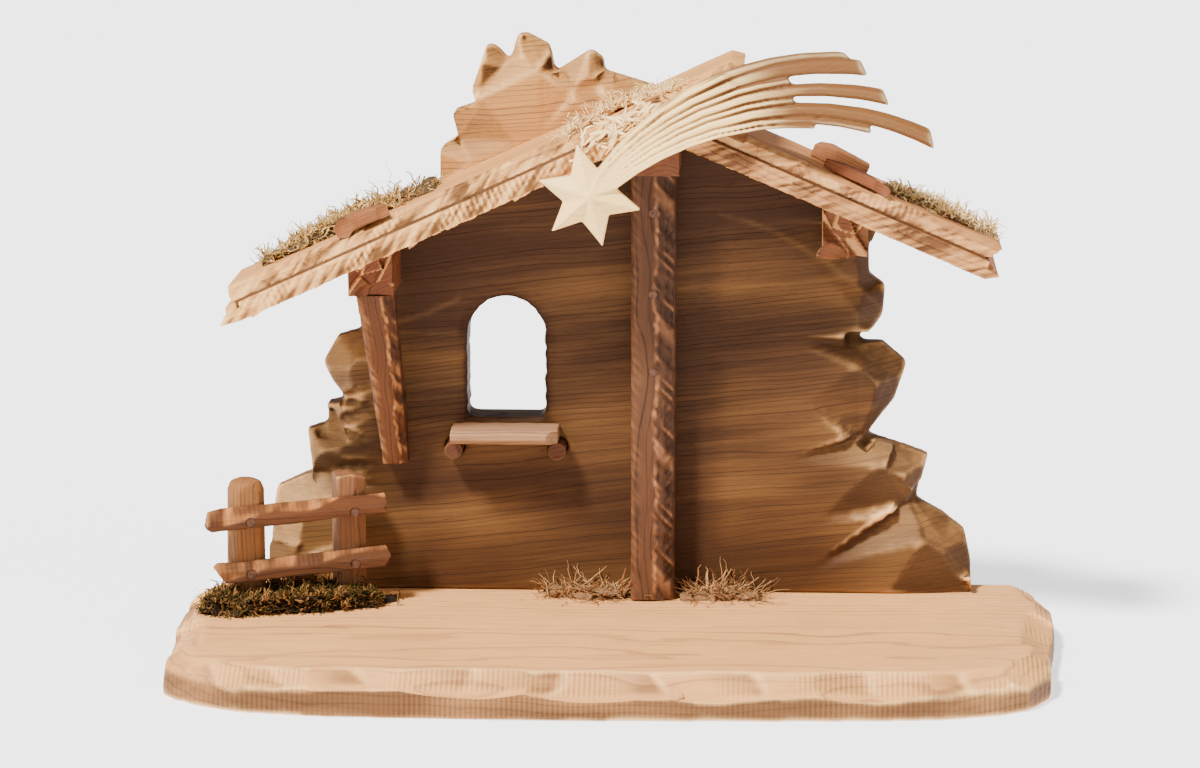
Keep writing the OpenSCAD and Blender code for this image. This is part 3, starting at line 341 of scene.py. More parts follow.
def voxel_skin(node, voxel, prism=None):
    """Even skin of a measured node, with a prism of corners added where one is given."""
    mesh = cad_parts[node].data.copy()
    shell = bmesh.new()
    shell.from_mesh(mesh)
    if prism is not None:
        add_prism(shell, prism)
    bmesh.ops.remove_doubles(shell, verts=shell.verts, dist=0.001 * MM)
    shell.to_mesh(mesh)
    shell.free()
    block = bpy.data.objects.new(node + "_block", mesh)
    bpy.context.scene.collection.objects.link(block)
    remesh = block.modifiers.new("voxels", "REMESH")
    remesh.mode, remesh.voxel_size = "VOXEL", voxel * MM
    skin = bpy.data.meshes.new_from_object(
        block.evaluated_get(bpy.context.evaluated_depsgraph_get()))
    bpy.data.objects.remove(block)
    skin.materials.clear()
    return skin


def show(name, mesh, finish, *nodes):
    """Put a mesh into the scene in place of the measured nodes."""
    piece = bpy.data.objects.new(name, mesh)
    mesh.materials.append(finish.material)
    bpy.context.scene.collection.objects.link(piece)
    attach(piece, "root")
    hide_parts(*nodes)
    print(name, len(mesh.polygons), "faces")
    return piece


print("skins ready")

# %% [markdown]
# ## A carver's tools
# `Carving` holds a skin as an array of points. A scoop moves every point inside an
# ellipsoid out onto its surface, which is what a gouge leaves. Relaxing rounds the
# ridges a little. At the end the skin's own shape tells where the ridges are, and they
# get the `pale_and_highlight` value of worn wood. All lengths are millimetres.

# %% The Carving class
class Carving:
    def __init__(self, node, voxel, prism=None):
        self.node = node
        self.mesh = voxel_skin(node, voxel, prism)
        self.points = read_points(self.mesh)
        pairs = np.empty(len(self.mesh.edges) * 2, np.int32)
        self.mesh.edges.foreach_get("vertices", pairs)
        self.a, self.b = pairs.reshape(-1, 2).T
        count = len(self.points)
        self.degree = np.bincount(self.a, minlength=count) + np.bincount(self.b, minlength=count)
        self.values = {}

    def place(self):
        """Every point's x, y and z in millimetres."""
        return self.points.T / MM

    def normals(self):
        write_points(self.mesh, self.points)
        self.mesh.update()
        flat = np.empty(len(self.points) * 3, np.float32)
        self.mesh.vertex_normals.foreach_get("vector", flat)
        return flat.reshape(-1, 3)

    def averaged(self, values, rounds=1):
        """Each point's mean over its neighbours, taken `rounds` times."""
        count = len(self.degree)
        for _ in range(rounds):
            columns = values.reshape(count, -1).T
            sums = [np.bincount(self.a, column[self.b], count)
                    + np.bincount(self.b, column[self.a], count) for column in columns]
            values = (np.stack(sums, 1) / self.degree[:, None]).reshape(values.shape)
        return values

    def relax(self, rounds, share=0.5):
        for _ in range(rounds):
            self.points += share * (self.averaged(self.points) - self.points)
        return self

    def scoop(self, place, outward, along, length, width, depth):
        """Gouge cut centred on a place of the surface."""
        outward = np.asarray(outward, float) / np.linalg.norm(outward)
        along = np.asarray(along, float) - outward * np.dot(outward, along)
        along /= np.linalg.norm(along)
        half = width / 2
        radius = (half * half + depth * depth) / (2 * depth)
        axes = np.stack([along, np.cross(outward, along), outward])
        radii = np.array([radius * length / width, radius, radius]) * MM
        centre = np.asarray(place, float) * MM + outward * (radius - depth) * MM
        local = (self.points - centre) @ axes.T / radii
        size = np.linalg.norm(local, axis=1)
        inside = (size < 1) & (local[:, 2] < 0)
        self.points[inside] = (local[inside] / size[inside, None] * radii) @ axes + centre
        return self

    def rough(self, depth, size, seed=0):
        """Uneven surface: pushes points inwards by up to `depth`."""
        push = (soft_noise(self.points, size, seed) + 1) / 2 * depth * MM
        self.points -= self.normals() * push[:, None]
        return self

    def wear(self, gain, blur, offset, rounds=4):
        """The `pale_and_highlight` value, here of worn ridges: how far a point stands out of its
        neighbours' plane.
        """
        normals = self.normals()
        ridge = ((self.points - self.averaged(self.points, rounds)) * normals).sum(1) / MM
        self.values["pale_and_highlight"] = np.clip((self.averaged(ridge, blur) - offset) * 2.2 * gain, 0, 1)
        return self

    def finish_piece(self, finish):
        write_points(self.mesh, self.points)
        for name, values in self.values.items():
            stored = self.mesh.attributes.new(name, "FLOAT", "POINT")
            stored.data.foreach_set("value", values.astype(np.float32))
        self.mesh.update()
        self.mesh.shade_smooth()
        return show(self.node + "_carved", self.mesh, finish, self.node)


print("Carving ready")

# %% [markdown]
# ## The base board
# A thick board with a chip-carved bevel round its top. The measured board already has
# its facets. Wide shallow scoops make each one slightly hollow, as a gouge would, and a
# slow unevenness takes the machine look off the top. One front corner stays sharper
# than any hand would leave it, so it is relaxed by itself.

# %% Cut the base
BASE_TOP = 14
base_wood = wood("base_wood", "base_board", pith=(-35, -75), ring=2.6, light=(229, 164, 98),
                 dark=(156, 106, 66), edge=(240, 190, 122), wash_and_shade=(124, 116, 116), mottle=0.3,
                 ring_depth=0.45)
base = Carving("base_board", 1.1).relax(1)
chance = np.random.default_rng(5)
for x in np.arange(-132, 135, 21):
    bevel_spot = (x + chance.uniform(-4, 4), -67 + abs(x) * 0.04, 11.2 + chance.uniform(-0.6, 0.6))
    base.scoop(bevel_spot, (chance.uniform(-0.25, 0.25), -0.5, 0.86), (1, 0, 0.02), 24, 9, 0.5)
    front_spot = (x + chance.uniform(-6, 6), -71.5 + abs(x) * 0.03, 4.5)
    base.scoop(front_spot, (0, -1, 0.1), (1, 0, 0), 30, 11, 0.35)
base.rough(0.3, (40, 20, 20), 1).relax(1, 0.4)

x, y, z = base.place()
corner = ramp(22 - np.hypot(x + 146, y + 56), 0, 10) * ramp(z, 3, 7)
base.relax(24, 0.85 * corner[:, None])
base.points[:, 2] = np.clip(base.points[:, 2], 0, (BASE_TOP + 0.1) * MM)
base.wear(1.6, 0, 0.1)
print("base cut, points:", len(base.points))

# %% [markdown]
# The brown wash sits on the base's sides up to a wavy border. Above it, each chip of
# the bevel gets painted shade that grows towards one end, as a hollow chip lit from one
# side would show, and starts with a pale edge: a sawtooth of the place along the board
# gives both.

# %% Wash on the base
x, y, z = base.place()
upright = 1 - np.abs(base.normals()[:, 2])
border = 8.7 + soft_noise(base.points * (1, 1, 0), (15, 15, 15), 8)
washed = ramp(border - z, -0.3, 0.5) * ramp(upright, 0.2, 0.45)
bevel = (1 - washed) * ramp(upright, 0.03, 0.12)
# Sawtooth along each chip of the bevel: its square adds painted shade towards the chip's far end, and a
# pale edge sits at its start.
chip_shade_ramp = x / 32 + z / 22 + 1.2 * soft_noise(base.points, (60, 60, 60), 12)
chip_shade_ramp -= np.floor(chip_shade_ramp)
ripples = ramp(soft_noise(base.points, (15, 15, 30), 3), -0.1, 0.35)

stain_and_shade = (washed * (0.9 + 0.3 * soft_noise(base.points, (22, 22, 9), 6))
         + bevel * (0.14 + 0.25 * soft_noise(base.points, (16, 16, 16), 9) + 0.42 * chip_shade_ramp ** 2))
pale_and_highlight = np.clip(base.values["pale_and_highlight"] * (1 - 0.4 * washed)
               + bevel * 0.6 * np.exp(-((chip_shade_ramp - 0.05) / 0.04) ** 2), 0, 1)
base.values = {"stain_and_shade": base.averaged(stain_and_shade), "pale_and_highlight": base.averaged(pale_and_highlight),
               "comb": bevel * ripples + washed * (0.5 + 0.5 * ripples)}
base.finish_piece(base_wood)

# %% [markdown]
# ## The back wall
# Its lobes are the loudest carving of the object. Every lobe was cut with a few strokes
# of a broad chisel, so each cut is a plane. Three corners with their depths below the
# wall's face define one plane, and a table of such triangles carves the whole rim.

# %% Facets of the wall: triangles of (x, z, depth below the face)
RIGHT_LOBES = (
    ((50, 146, 0), (64, 137, 0), (92, 146, 5)), ((64, 137, 0), (75, 127.5, 0.4), (92, 146, 5)),
    ((75, 127.5, 0.4), (98, 126, 6), (92, 146, 5)), ((75, 127.5, 0.4), (89, 110, 0.5), (98, 126, 6)),
    ((60, 106, 0), (81, 105, 6.5), (86, 96, 0.6)), ((81, 105, 6.5), (97, 106, 6), (96, 93, 0.8)),
    ((81, 105, 6.5), (86, 96, 0.6), (96, 93, 0.8)), ((66, 84, 0), (86, 96, 0.6), (86, 69.5, 5.5)),
    ((86, 96, 0.6), (96, 93, 0.8), (86, 69.5, 5.5)), ((96, 93, 0.8), (98, 80, 5), (86, 69.5, 5.5)),
    ((60, 62, 0), (85.5, 71, 6.5), (94, 61, 0.6)), ((85.5, 71, 6.5), (105, 69, 6), (104, 60, 1.2)),
    ((85.5, 71, 6.5), (94, 61, 0.6), (104, 60, 1.2)), ((70, 40, 0), (94, 61, 0.6), (104, 46, 6)),
    ((94, 61, 0.6), (104, 60, 1.2), (106, 47, 6)), ((94, 61, 0.6), (106, 47, 6), (104, 46, 6)),
    ((68, 22, 0), (104, 48, 7), (110, 34, 0.6)), ((104, 48, 7), (120, 44, 6), (116, 32, 1.2)),
    ((104, 48, 7), (110, 34, 0.6), (116, 32, 1.2)), ((96, 14, 0), (110, 34, 0.6), (128, 12, 5)),
    ((110, 34, 0.6), (116, 32, 1.2), (128, 12, 5)))
LEFT_LOBES = (
    ((-84, 112, 0), (-99, 108, 4), (-96, 100, 0.5)), ((-80, 92, 0), (-96, 100, 0.5), (-97, 84, 4.5)),
    ((-96, 100, 0.5), (-108, 96, 5.5), (-99, 80, 6)), ((-84, 80, 0), (-96, 82.5, 6), (-108, 81, 1.2)),
    ((-84, 80, 0), (-108, 81, 1.2), (-103, 72, 5.5)), ((-84, 66, 0), (-102, 73.5, 6), (-115, 72, 1)),
    ((-84, 66, 0), (-115, 72, 1), (-98, 62, 0.6)), ((-115, 72, 1), (-114, 64, 4), (-98, 62, 0.6)),
    ((-98, 62, 0.6), (-114, 64, 4), (-108, 54, 6.5)), ((-84, 60, 0), (-98, 62, 0.6), (-108, 54, 6.5)),
    ((-84, 52, 0), (-107, 56, 7), (-111, 46, 0.6)), ((-107, 56, 7), (-117, 57, 6), (-111, 46, 0.6)),
    ((-111, 46, 0.6), (-117, 57, 6), (-128, 50, 6)), ((-111, 46, 0.6), (-128, 50, 6), (-116, 24, 0.8)),
    ((-128, 50, 6), (-130, 12, 5), (-116, 24, 0.8)), ((-92, 34, 0), (-111, 46, 0.6), (-116, 24, 2)))
CROWN = (
    ((-47, 210, 0.6), (-38.5, 202, 5), (-50, 190.5, 2.4)),
    ((-47, 210, 0.6), (-56, 194, 6), (-50, 190.5, 2.4)),
    ((-34, 213, 0.5), (-38.5, 202, 5), (-28, 199, 0.3)),
    ((-38.5, 202, 5), (-50, 190.5, 2.4), (-28, 199, 0.3)),
    ((-34, 213, 0.5), (-28, 199, 0.3), (-22, 207, 5)), ((-28, 199, 0.3), (-22, 207, 5), (-23, 197, 5.5)),
    ((-10, 208, 0.4), (-23, 197, 5.5), (-16, 191, 2)), ((-10, 208, 0.4), (-16, 191, 2), (-7.8, 193, 3)),
    ((-10, 208, 0.4), (-7.8, 193, 3), (-4, 200, 6)), ((-28, 199, 0.3), (-23, 197, 5.5), (-16, 191, 2)),
    ((-28, 199, 0.3), (-16, 191, 2), (-28, 178, 0)), ((-16, 191, 2), (-7.8, 193, 3), (-6, 184, 0)),
    ((-7.8, 193, 3), (-4, 200, 6), (8, 188, 0.5)), ((-48, 188.7, 0.2), (-36, 175, 0), (-57, 176, 4.5)),
    ((-48, 188.7, 0.2), (-50, 188, 4), (-62, 185, 3)), ((-48, 188.7, 0.2), (-62, 185, 3), (-57, 176, 4.5)),
    ((-52, 168, 0), (-57, 176, 5), (-66, 172, 3)), ((-52, 168, 0), (-66, 172, 3), (-66, 158, 4)),
    ((-36, 175, 0), (-52, 168, 0), (-57, 176, 4.5)))
print(len(RIGHT_LOBES) + len(LEFT_LOBES) + len(CROWN), "facets")

# %% Cutting facets
def cut_facets(carving, triangles, face_y):
    """Push the front face back to the planes of the triangles.

    Returns each point's distance from its triangle's rim and that triangle's shade.
    """
    x, _, z = carving.place()
    depth, rim, shade = np.zeros(len(x)), np.full(len(x), 9.0), np.zeros(len(x))
    for number, ((ax, az, ad), (bx, bz, bd), (cx, cz, cd)) in enumerate(triangles):
        area = (bx - ax) * (cz - az) - (cx - ax) * (bz - az)
        second = ((x - ax) * (cz - az) - (cx - ax) * (z - az)) / area
        third = ((bx - ax) * (z - az) - (x - ax) * (bz - az)) / area
        first = 1 - second - third
        inside = (first > -0.002) & (second > -0.002) & (third > -0.002)
        depth[inside] = np.maximum(depth, first * ad + second * bd + third * cd)[inside]
        heights = np.stack([first / math.hypot(bx - cx, bz - cz), second / math.hypot(ax - cx, az - cz),
                            third / math.hypot(ax - bx, az - bz)]) * abs(area)
        rim[inside], shade[inside] = heights.min(0)[inside], number * 0.618 % 1
    carving.points[:, 1] = np.maximum(carving.points[:, 1], (face_y + depth) * MM)
    return rim, shade


print("facet cutter ready")

# %% [markdown]
# The wall is cut, its ridges are softened with a light sanding, and the crown is drawn
# up a little. The roof line is needed here too, because the wash follows it.

# %% Cut the wall
RIDGE = np.array([14.0, 0, 184.0])
SLOPE_LEFT, SLOPE_RIGHT = math.radians(24.5), math.radians(23.3)
WALL_FACE = 54
CROWN_RISE = 2.7


def below_roof(x, z):
    """How far a point lies under the boards' underside."""
    return RIDGE[2] - z - np.where(x < RIDGE[0], (RIDGE[0] - x) * math.tan(SLOPE_LEFT),
                                   (x - RIDGE[0]) * math.tan(SLOPE_RIGHT))


wall_wood = wood("wall_wood", "back_wall", turn=(0, 6, 0), pith=(78, -40), ring=1.7,
                 light=(197, 139, 73), dark=(108, 68, 42), edge=(228, 174, 112),
                 wash_and_shade=(76, 60, 50), mottle=0.3)
wall = Carving("back_wall", 1.1)
rim, shade = cut_facets(wall, RIGHT_LOBES + LEFT_LOBES + CROWN, WALL_FACE)
wall.relax(1, np.where(wall.points[:, 2:] < 150 * MM, 0.55, 0.3))
wall.rough(0.3, (30, 12, 18), 2).wear(1.2, 1, 0.08, 2)
wall.points[:, 2] += ramp(wall.points[:, 2] / MM, 162, 208) * CROWN_RISE * MM
print("wall cut, points:", len(wall.points))

# %% [markdown]
# The brown wash fills the room under the roof and leaves the crown pale. Painted shade
# darkens the room more under the roof's underside, on its left side and in a band where
# the post's shadow falls. Outside the room the deeper parts of the cuts are darker, faces
# turned to the lower right, away from the light, get painted shade and faces turned to
# the upper left a painted highlight, every facet has its own tone, and the ridges between
# them were rubbed pale. The back is washed thinly.

# %% Wash on the wall
x, y, z = wall.place()
under, facing = below_roof(x, z), -wall.normals()[:, 1]
room = ramp(under + 6, 0, 8) * ramp(88 - np.abs(x), -12, 22)
open_face = ramp(facing, 0.1, 0.4) * (1 - room)
# Faces turned to the lower right, away from the light on the left, get painted shade below; faces turned to
# the upper left get a painted highlight.
away_from_light = wall.normals() @ np.array([0.8, 0.0, -0.6])
uneven = soft_noise(wall.points, (50, 30, 14), 3)
crown = ramp(-under, -2, 3)
shadow = 0.3 * ramp(-under, -52, -4) + 0.2 * ramp(-x, 50, 80) + 0.25 * ramp(-np.abs(x - 26), -14, -4)

stain_and_shade = np.clip(room * (0.82 + shadow * 0.4 + 0.16 * uneven)
                + (1 - room) * ramp(under, 0, 10) * (0.68 + 0.18 * uneven)
                + 0.12 * ramp(0.85 - facing, 0, 0.6) * ramp(under, -30, 10), 0, 1)
stain_and_shade = np.maximum(stain_and_shade, 0.25 * ramp(y, 54.8, 60) * (facing > 0.3))
stain_and_shade = np.clip(stain_and_shade + 0.4 * ramp(away_from_light, 0.04, 0.4) * (facing > 0.3) * (1 - room), 0, 1)
stain_and_shade = np.clip(stain_and_shade + open_face * shade * (0.2 + 0.12 * crown), 0, 1)
back = ramp(y, 64, 69)
stain_and_shade = stain_and_shade * (1 - back) + back * (0.5 + 0.25 * uneven)

pale_and_highlight = np.clip(wall.values["pale_and_highlight"] * (1 - 0.6 * room)
               + (1 - room) * ramp(under, 0, 10) * (0.12 + 0.06 * uneven) + 0.08 * room, 0, 1)
pale_and_highlight = np.clip(pale_and_highlight + 0.25 * ramp(-away_from_light, 0.1, 0.5) * (facing > 0.3) * (1 - room), 0, 1)
pale_and_highlight = np.clip(pale_and_highlight + open_face * ramp(rim, 1.1, 0.1) * (0.03 + 0.15 * crown), 0, 1)
print("wash share", round(float(stain_and_shade.mean()), 2))

# %% [markdown]
# Two things tell how the wall was worked: the marks that the gouge's corner left when
# the room was cleared, and the window's rim, which is scorched and slightly torn.

# %% Gouge marks and window rim
MARKS = (((35.5, 150.3), (46.1, 147.9), (56.6, 143.4), (74.3, 132.8), (85, 124), (92, 117)),
         ((-79, 110.8), (-67, 114.9), (-56.7, 119.6)), ((-78.5, 107.2), (-67, 107.3), (-56.8, 107.8)))
WINDOW_MIDDLE, WINDOW_HALF, WINDOW_SILL, ARCH_START = -40, 13.8, 77, 106.7

for line in MARKS:
    for (ax, az), (bx, bz) in zip(line, line[1:]):
        share = np.clip(((x - ax) * (bx - ax) + (z - az) * (bz - az))
                        / ((bx - ax) ** 2 + (bz - az) ** 2), 0, 1)
        away = np.hypot(x - ax - share * (bx - ax), z - az - share * (bz - az))
        mark = ramp(away, 2.0, 0.3) * (facing > 0.5)
        pale_and_highlight, stain_and_shade = np.maximum(pale_and_highlight, 0.14 * mark), stain_and_shade * (1 - 0.06 * mark)

away = np.hypot(x - WINDOW_MIDDLE, np.maximum(z - ARCH_START, 0)) - WINDOW_HALF
away = np.where(z < WINDOW_SILL, np.maximum(away, WINDOW_SILL - z), away)
scorched = ramp(away, 4.5, 0.8)
wall.values = {"stain_and_shade": np.maximum(stain_and_shade, scorched * (0.74 + 0.2 * (facing > 0.5))),
               "pale_and_highlight": pale_and_highlight * (1 - scorched)}
torn = ramp(away, 1.6, 0.4) * soft_noise(wall.points, (2.2, 30, 2.2), 7) * 0.45
wall.points[:, 0] += torn * np.sign(x - WINDOW_MIDDLE) * MM
wall.finish_piece(wall_wood)

# %% [markdown]
# ## The roof boards
# Smooth sawn tops, and front edges that were hewn with a knife. One helper makes a row
# of slanting cuts along any edge. Each board's front gets two or three rows of them,
# and then torn chips, short runs of comb-like ripples and painted shade along the joint
# between the two layers. The lower boards' fronts are first filled out to a rounded profile.

# %% Rows of knife cuts
def hewn(carving, start, end, outward, across, step, length, width, depth, seed, slant):
    """A row of cuts along an edge, each with its own direction and depth."""
    chance = np.random.default_rng(seed)
    start, end, across = (np.asarray(v, float) for v in (start, end, across))
    total = np.linalg.norm(end - start)
    direction = (end - start) / total
    travel = chance.uniform(0, step)
    while travel < total:
        angle = math.radians(chance.uniform(*slant))
        place = start + direction * travel + across * chance.uniform(-0.2, 0.2) * width
        carving.scoop(place, outward, direction * math.cos(angle) + across * math.sin(angle),
                      length * chance.uniform(0.7, 1.3), width * chance.uniform(0.7, 1.2),
                      depth * chance.uniform(0.5, 1.1))
        travel += step * chance.uniform(0.6, 1.4)


print("knife ready")

# %% Roof boards
ALONG_LEFT = np.array([math.cos(SLOPE_LEFT), 0, math.sin(SLOPE_LEFT)])
UP_LEFT = np.array([-math.sin(SLOPE_LEFT), 0, math.cos(SLOPE_LEFT)])
ALONG_RIGHT = np.array([math.cos(SLOPE_RIGHT), 0, -math.sin(SLOPE_RIGHT)])
UP_RIGHT = np.array([math.sin(SLOPE_RIGHT), 0, math.cos(SLOPE_RIGHT)])
LOWER, UPPER = (0, 6.6), (6.6, 12)          # each layer's underside and top above the roof line
UPPER_FRONT = 9 + 2.2
FRONT_PROFILE = ((9.8, 0.2), (9.2, 1.6), (9.0, 4.4), (9.5, 6.1), (10.2, 6.6), (22, 6.6), (22, 0.2))
KNIFE_ROWS = ((0.25, (0, -1, -0.2), (30, 70)), (0.55, (0, -1, 0.1), (-60, -25)),
              (0.85, (0, -1, 0.5), (15, 60)))      # share of the height, outward, slant


def chip_front(board, along, up, seed):
    """Torn chips, comb-like ripples and painted shade along the joint on a board's front edge."""
    offset, y = board.points / MM - RIDGE, board.points[:, 1] / MM
    travel, height = offset @ along, offset @ up
    face = ramp(-board.normals()[:, 1], 0.12, 0.4) * ramp(y, 26, 21)
    slanting = np.stack([travel - 1.3 * height, y, height], 1) * MM
    chips, patch = soft_noise(slanting, (1.5, 4, 3.2), seed), soft_noise(slanting, (9, 30, 6), seed + 5)
    comb = ramp(soft_noise(slanting, (16, 90, 90), seed + 3), 0.25, 0.5) \
        * np.sin(travel * 2 * math.pi / 2.1)
    board.points[:, 1] += face * (np.clip(chips, -0.3, 1) * 0.35 + comb * 0.2) * MM

    # Painted shade along the seam between the two layers of boards.
    joint_shade = ramp(np.abs(height - LOWER[1]), 0.75, 0.2) * ramp(board.points[:, 1] / MM, 22, 16)
    pale_and_highlight = np.clip(board.values["pale_and_highlight"] * 0.8
                   + face * (0.26 - 0.4 * chips - 0.3 * comb - 0.25 * patch), 0, 1)
    stain_and_shade = face * np.clip(0.16 + 0.6 * chips + 0.3 * comb + 0.7 * patch, 0, 0.8)
    board.values = {"pale_and_highlight": pale_and_highlight * (1 - joint_shade), "stain_and_shade": np.maximum(stain_and_shade, joint_shade)}


def roof_board(node, along, up, ends, filled, layer, turn, colours, seed):
    """`ends` and `filled` are distances from the ridge along the slope."""
    light, dark, edge_colour = colours
    finish = wood(node + "_wood", node, turn=(0, turn, 0), pith=(-20 - seed, -50), ring=2.2,
                  light=light, dark=dark, edge=edge_colour, mottle=0.4, ring_depth=0.5)
    if layer is LOWER:
        board = Carving(node, 0.54, [RIDGE + along * u + up * h + np.array([0, y, 0])
                                     for u in filled for y, h in FRONT_PROFILE])
        rows, front = KNIFE_ROWS, np.array([0, 9.2, 0])
    else:
        board = Carving(node, 0.54)
        board.points[:, 1] = np.maximum(board.points[:, 1], UPPER_FRONT * MM)
        rows, front = KNIFE_ROWS[1:], np.array([0, 11.6, 0])
    low, high = layer
    for share, out, slant in rows:
        height = low + (high - low) * share
        start, end = (RIDGE + along * u + up * height + front for u in ends)
        hewn(board, start, end, out, along * 0.3 + up, 3.1, 8, 3.0, 0.5, seed + int(height * 10), slant)
    board.rough(0.25, (14, 6, 4), seed).wear(1.2, 1, 0.06)
    chip_front(board, along, up, seed)
    board.finish_piece(finish)


GOLDEN_EDGE, BROWN_EDGE = (243, 196, 122), (222, 168, 104)
roof_board("roof_left_lower", ALONG_LEFT, UP_LEFT, (-160, 0), (-155, 0), LOWER, 24.5,
           ((214, 146, 78), (136, 88, 52), GOLDEN_EDGE), 21)
roof_board("roof_left_upper", ALONG_LEFT, UP_LEFT, (-158, 34), None, UPPER, 24.5,
           ((218, 152, 84), (142, 94, 56), GOLDEN_EDGE), 22)
roof_board("roof_right_lower", ALONG_RIGHT, UP_RIGHT, (0, 126), (0, 122), LOWER, -23.3,
           ((186, 122, 68), (110, 70, 41), BROWN_EDGE), 23)
roof_board("roof_right_upper", ALONG_RIGHT, UP_RIGHT, (0, 128), None, UPPER, -23.3,
           ((194, 130, 75), (116, 75, 45), BROWN_EDGE), 24)

# %% [markdown]
# ## Sticks with hewn edges
# The beams, the post, the brace, the pegs and the fence are split or sawn sticks. The
# recipe is the same for all; only the grain's direction, the colours and the cuts
# differ. Edges are found on the skin itself, by looking for the outermost points.

# %% The stick recipe
UPRIGHT, DEEP = (0, 90, 0), (0, 0, -90)     # turns that lay the grain along Z or along Y
UP = (0, 0, 1)


def edge_ends(carving, along, towards):
    """Two places near the ends of the edge that looks `towards`."""
    travel = carving.points @ np.asarray(along, float)
    ends = []
    for share in (0.06, 0.94):
        near = np.abs(travel - travel.min() - share * np.ptp(travel)) < 2 * MM
        chosen = carving.points[near]
        ends.append(chosen[np.argmax(chosen @ np.asarray(towards, float))] / MM)
    return ends


def stick(node, turn, light, dark, voxel=0.55, ring=1.5, seed=1, edge=(232, 170, 104),
          edges=(), shape=None):
    """`edges` lists (along, towards, step, length, width, depth, slant) of hewn edges."""
    finish = wood(node + "_wood", node, turn=turn, pith=(-14 - seed, -33), ring=ring, light=light,
                  dark=dark, edge=edge)
    piece = Carving(node, voxel)
    for index, (along, towards, step, length, width, depth, slant) in enumerate(edges):
        start, end = edge_ends(piece, along, towards)
        across = np.cross(np.asarray(towards, float), np.asarray(along, float))
        hewn(piece, start, end, towards, across / np.linalg.norm(across), step, length, width,
             depth, seed * 7 + index, slant)
    piece.rough(0.25, (5, 5, 9), seed).relax(1, 0.6).wear(1.2, 1, 0.08)
    if shape:
        shape(piece)
    return piece.finish_piece(finish)


print("stick recipe ready")

# %% [markdown]
# ## Post and brace
# Both were split from the outside of a trunk. Their left part is smooth, and right of a
# wavy, chipped border lies the furrowed side from under the bark.

# %% Post and brace
def width_share(piece):
    """Where each point lies between the left and right edge at its own height, 0 to 1."""
    x, level = piece.points[:, 0], (piece.points[:, 2] / (2 * MM)).astype(int)
    left, right = np.full(level.max() + 1, 1e9), np.full(level.max() + 1, -1e9)
    np.minimum.at(left, level, x)
    np.maximum.at(right, level, x)
    return (x - left[level]) / (right - left)[level]


def bark_strip(border, depth, left_chips):
    """`border` is its share of the width, `depth` that of the furrows."""
    def shape(piece):
        x, _, z = piece.place()
        front = ramp(-piece.normals()[:, 1], 0.2, 0.6)
        upward = piece.points * (0, 0, 1)
        share = width_share(piece) + (soft_noise(upward, (9, 9, 7), 4) * 0.06
                                      + soft_noise(upward, (9, 9, 1.7), 6) * 0.035)
        strip = ramp(share, border - 0.02, border + 0.03)
        line = ramp(np.abs(share - border), 0.075, 0.02)
        slanting = np.stack([x, x * 0, z + x * 1.1], 1) * MM
        furrows, chips = soft_noise(slanting, (5, 5, 1.9), 9), soft_noise(slanting, (3, 5, 1.3), 12)
        edge_marks = ramp(share, 0.4, 0.06) * left_chips + line
        piece.points[:, 1] += front * strip * np.clip(furrows + 0.3, 0, 1) * depth * MM
        piece.values["stain_and_shade"] = np.clip(strip * (0.3 + 0.45 * furrows), 0, 1)
        piece.values["pale_and_highlight"] = np.clip(piece.values["pale_and_highlight"] * 0.35 + front * (
            edge_marks * (0.4 + 0.5 * chips) + strip * np.clip(-furrows * 0.7 - 0.1, 0, 0.4)), 0, 1)
    return shape


BRACE_LEAN = (0.08, 0.3, -0.95)
stick("centre_post", UPRIGHT, (92, 58, 36), (48, 31, 21), 0.6, seed=3, ring=1.3,
      edges=((UP, (-0.8, -0.6, 0), 5, 13, 3.6, 0.6, (20, 50)),
             (UP, (0.6, -0.8, 0), 3, 8, 3.2, 0.7, (-60, -30))),
      edge=(176, 118, 76), shape=bark_strip(0.56, 0.8, 0.45))
stick("left_brace", (0, 86, 0), (100, 58, 32), (54, 32, 20), 0.45, seed=4,
      edges=((BRACE_LEAN, (-0.7, -0.7, 0), 3.4, 10, 3.0, 0.6, (15, 40)),
             (BRACE_LEAN, (0.7, -0.7, 0), 5, 9, 3.4, 0.6, (-50, 20))),
      edge=(206, 140, 80), shape=bark_strip(0.72, 0.4, 0.8))

# %% [markdown]
# ## The purlins
# The roof rests on three short beams. The ridge beam is plain. The outer two show a
# zigzag of chisel facets on their ends and a hollow at one lower corner. The facet
# cutter of the wall does them, and the right one has the left one's facets mirrored.
# On the ends, facets turned to the left get a painted highlight and facets turned to
# the right painted shade.

# %% Purlins
PURLIN_FRONT = 22
ZIGZAG_LEFT = (((-94, 144, 0.3), (-88.5, 133, 3.2), (-84.5, 145, 0.3)),
               ((-84.5, 145, 0.3), (-80.5, 135, 3.2), (-75, 147, 0.3)),
               ((-94, 140, 0.6), (-94, 125, 2.8), (-88.5, 133, 3.2)),
               ((-88.5, 133, 1.2), (-80.5, 135, 3.2), (-84, 128, 2.2)))
ZIGZAG_RIGHT = tuple(tuple((-x - 5.8, z + 15.5, d) for x, z, d in corners) for corners in ZIGZAG_LEFT)


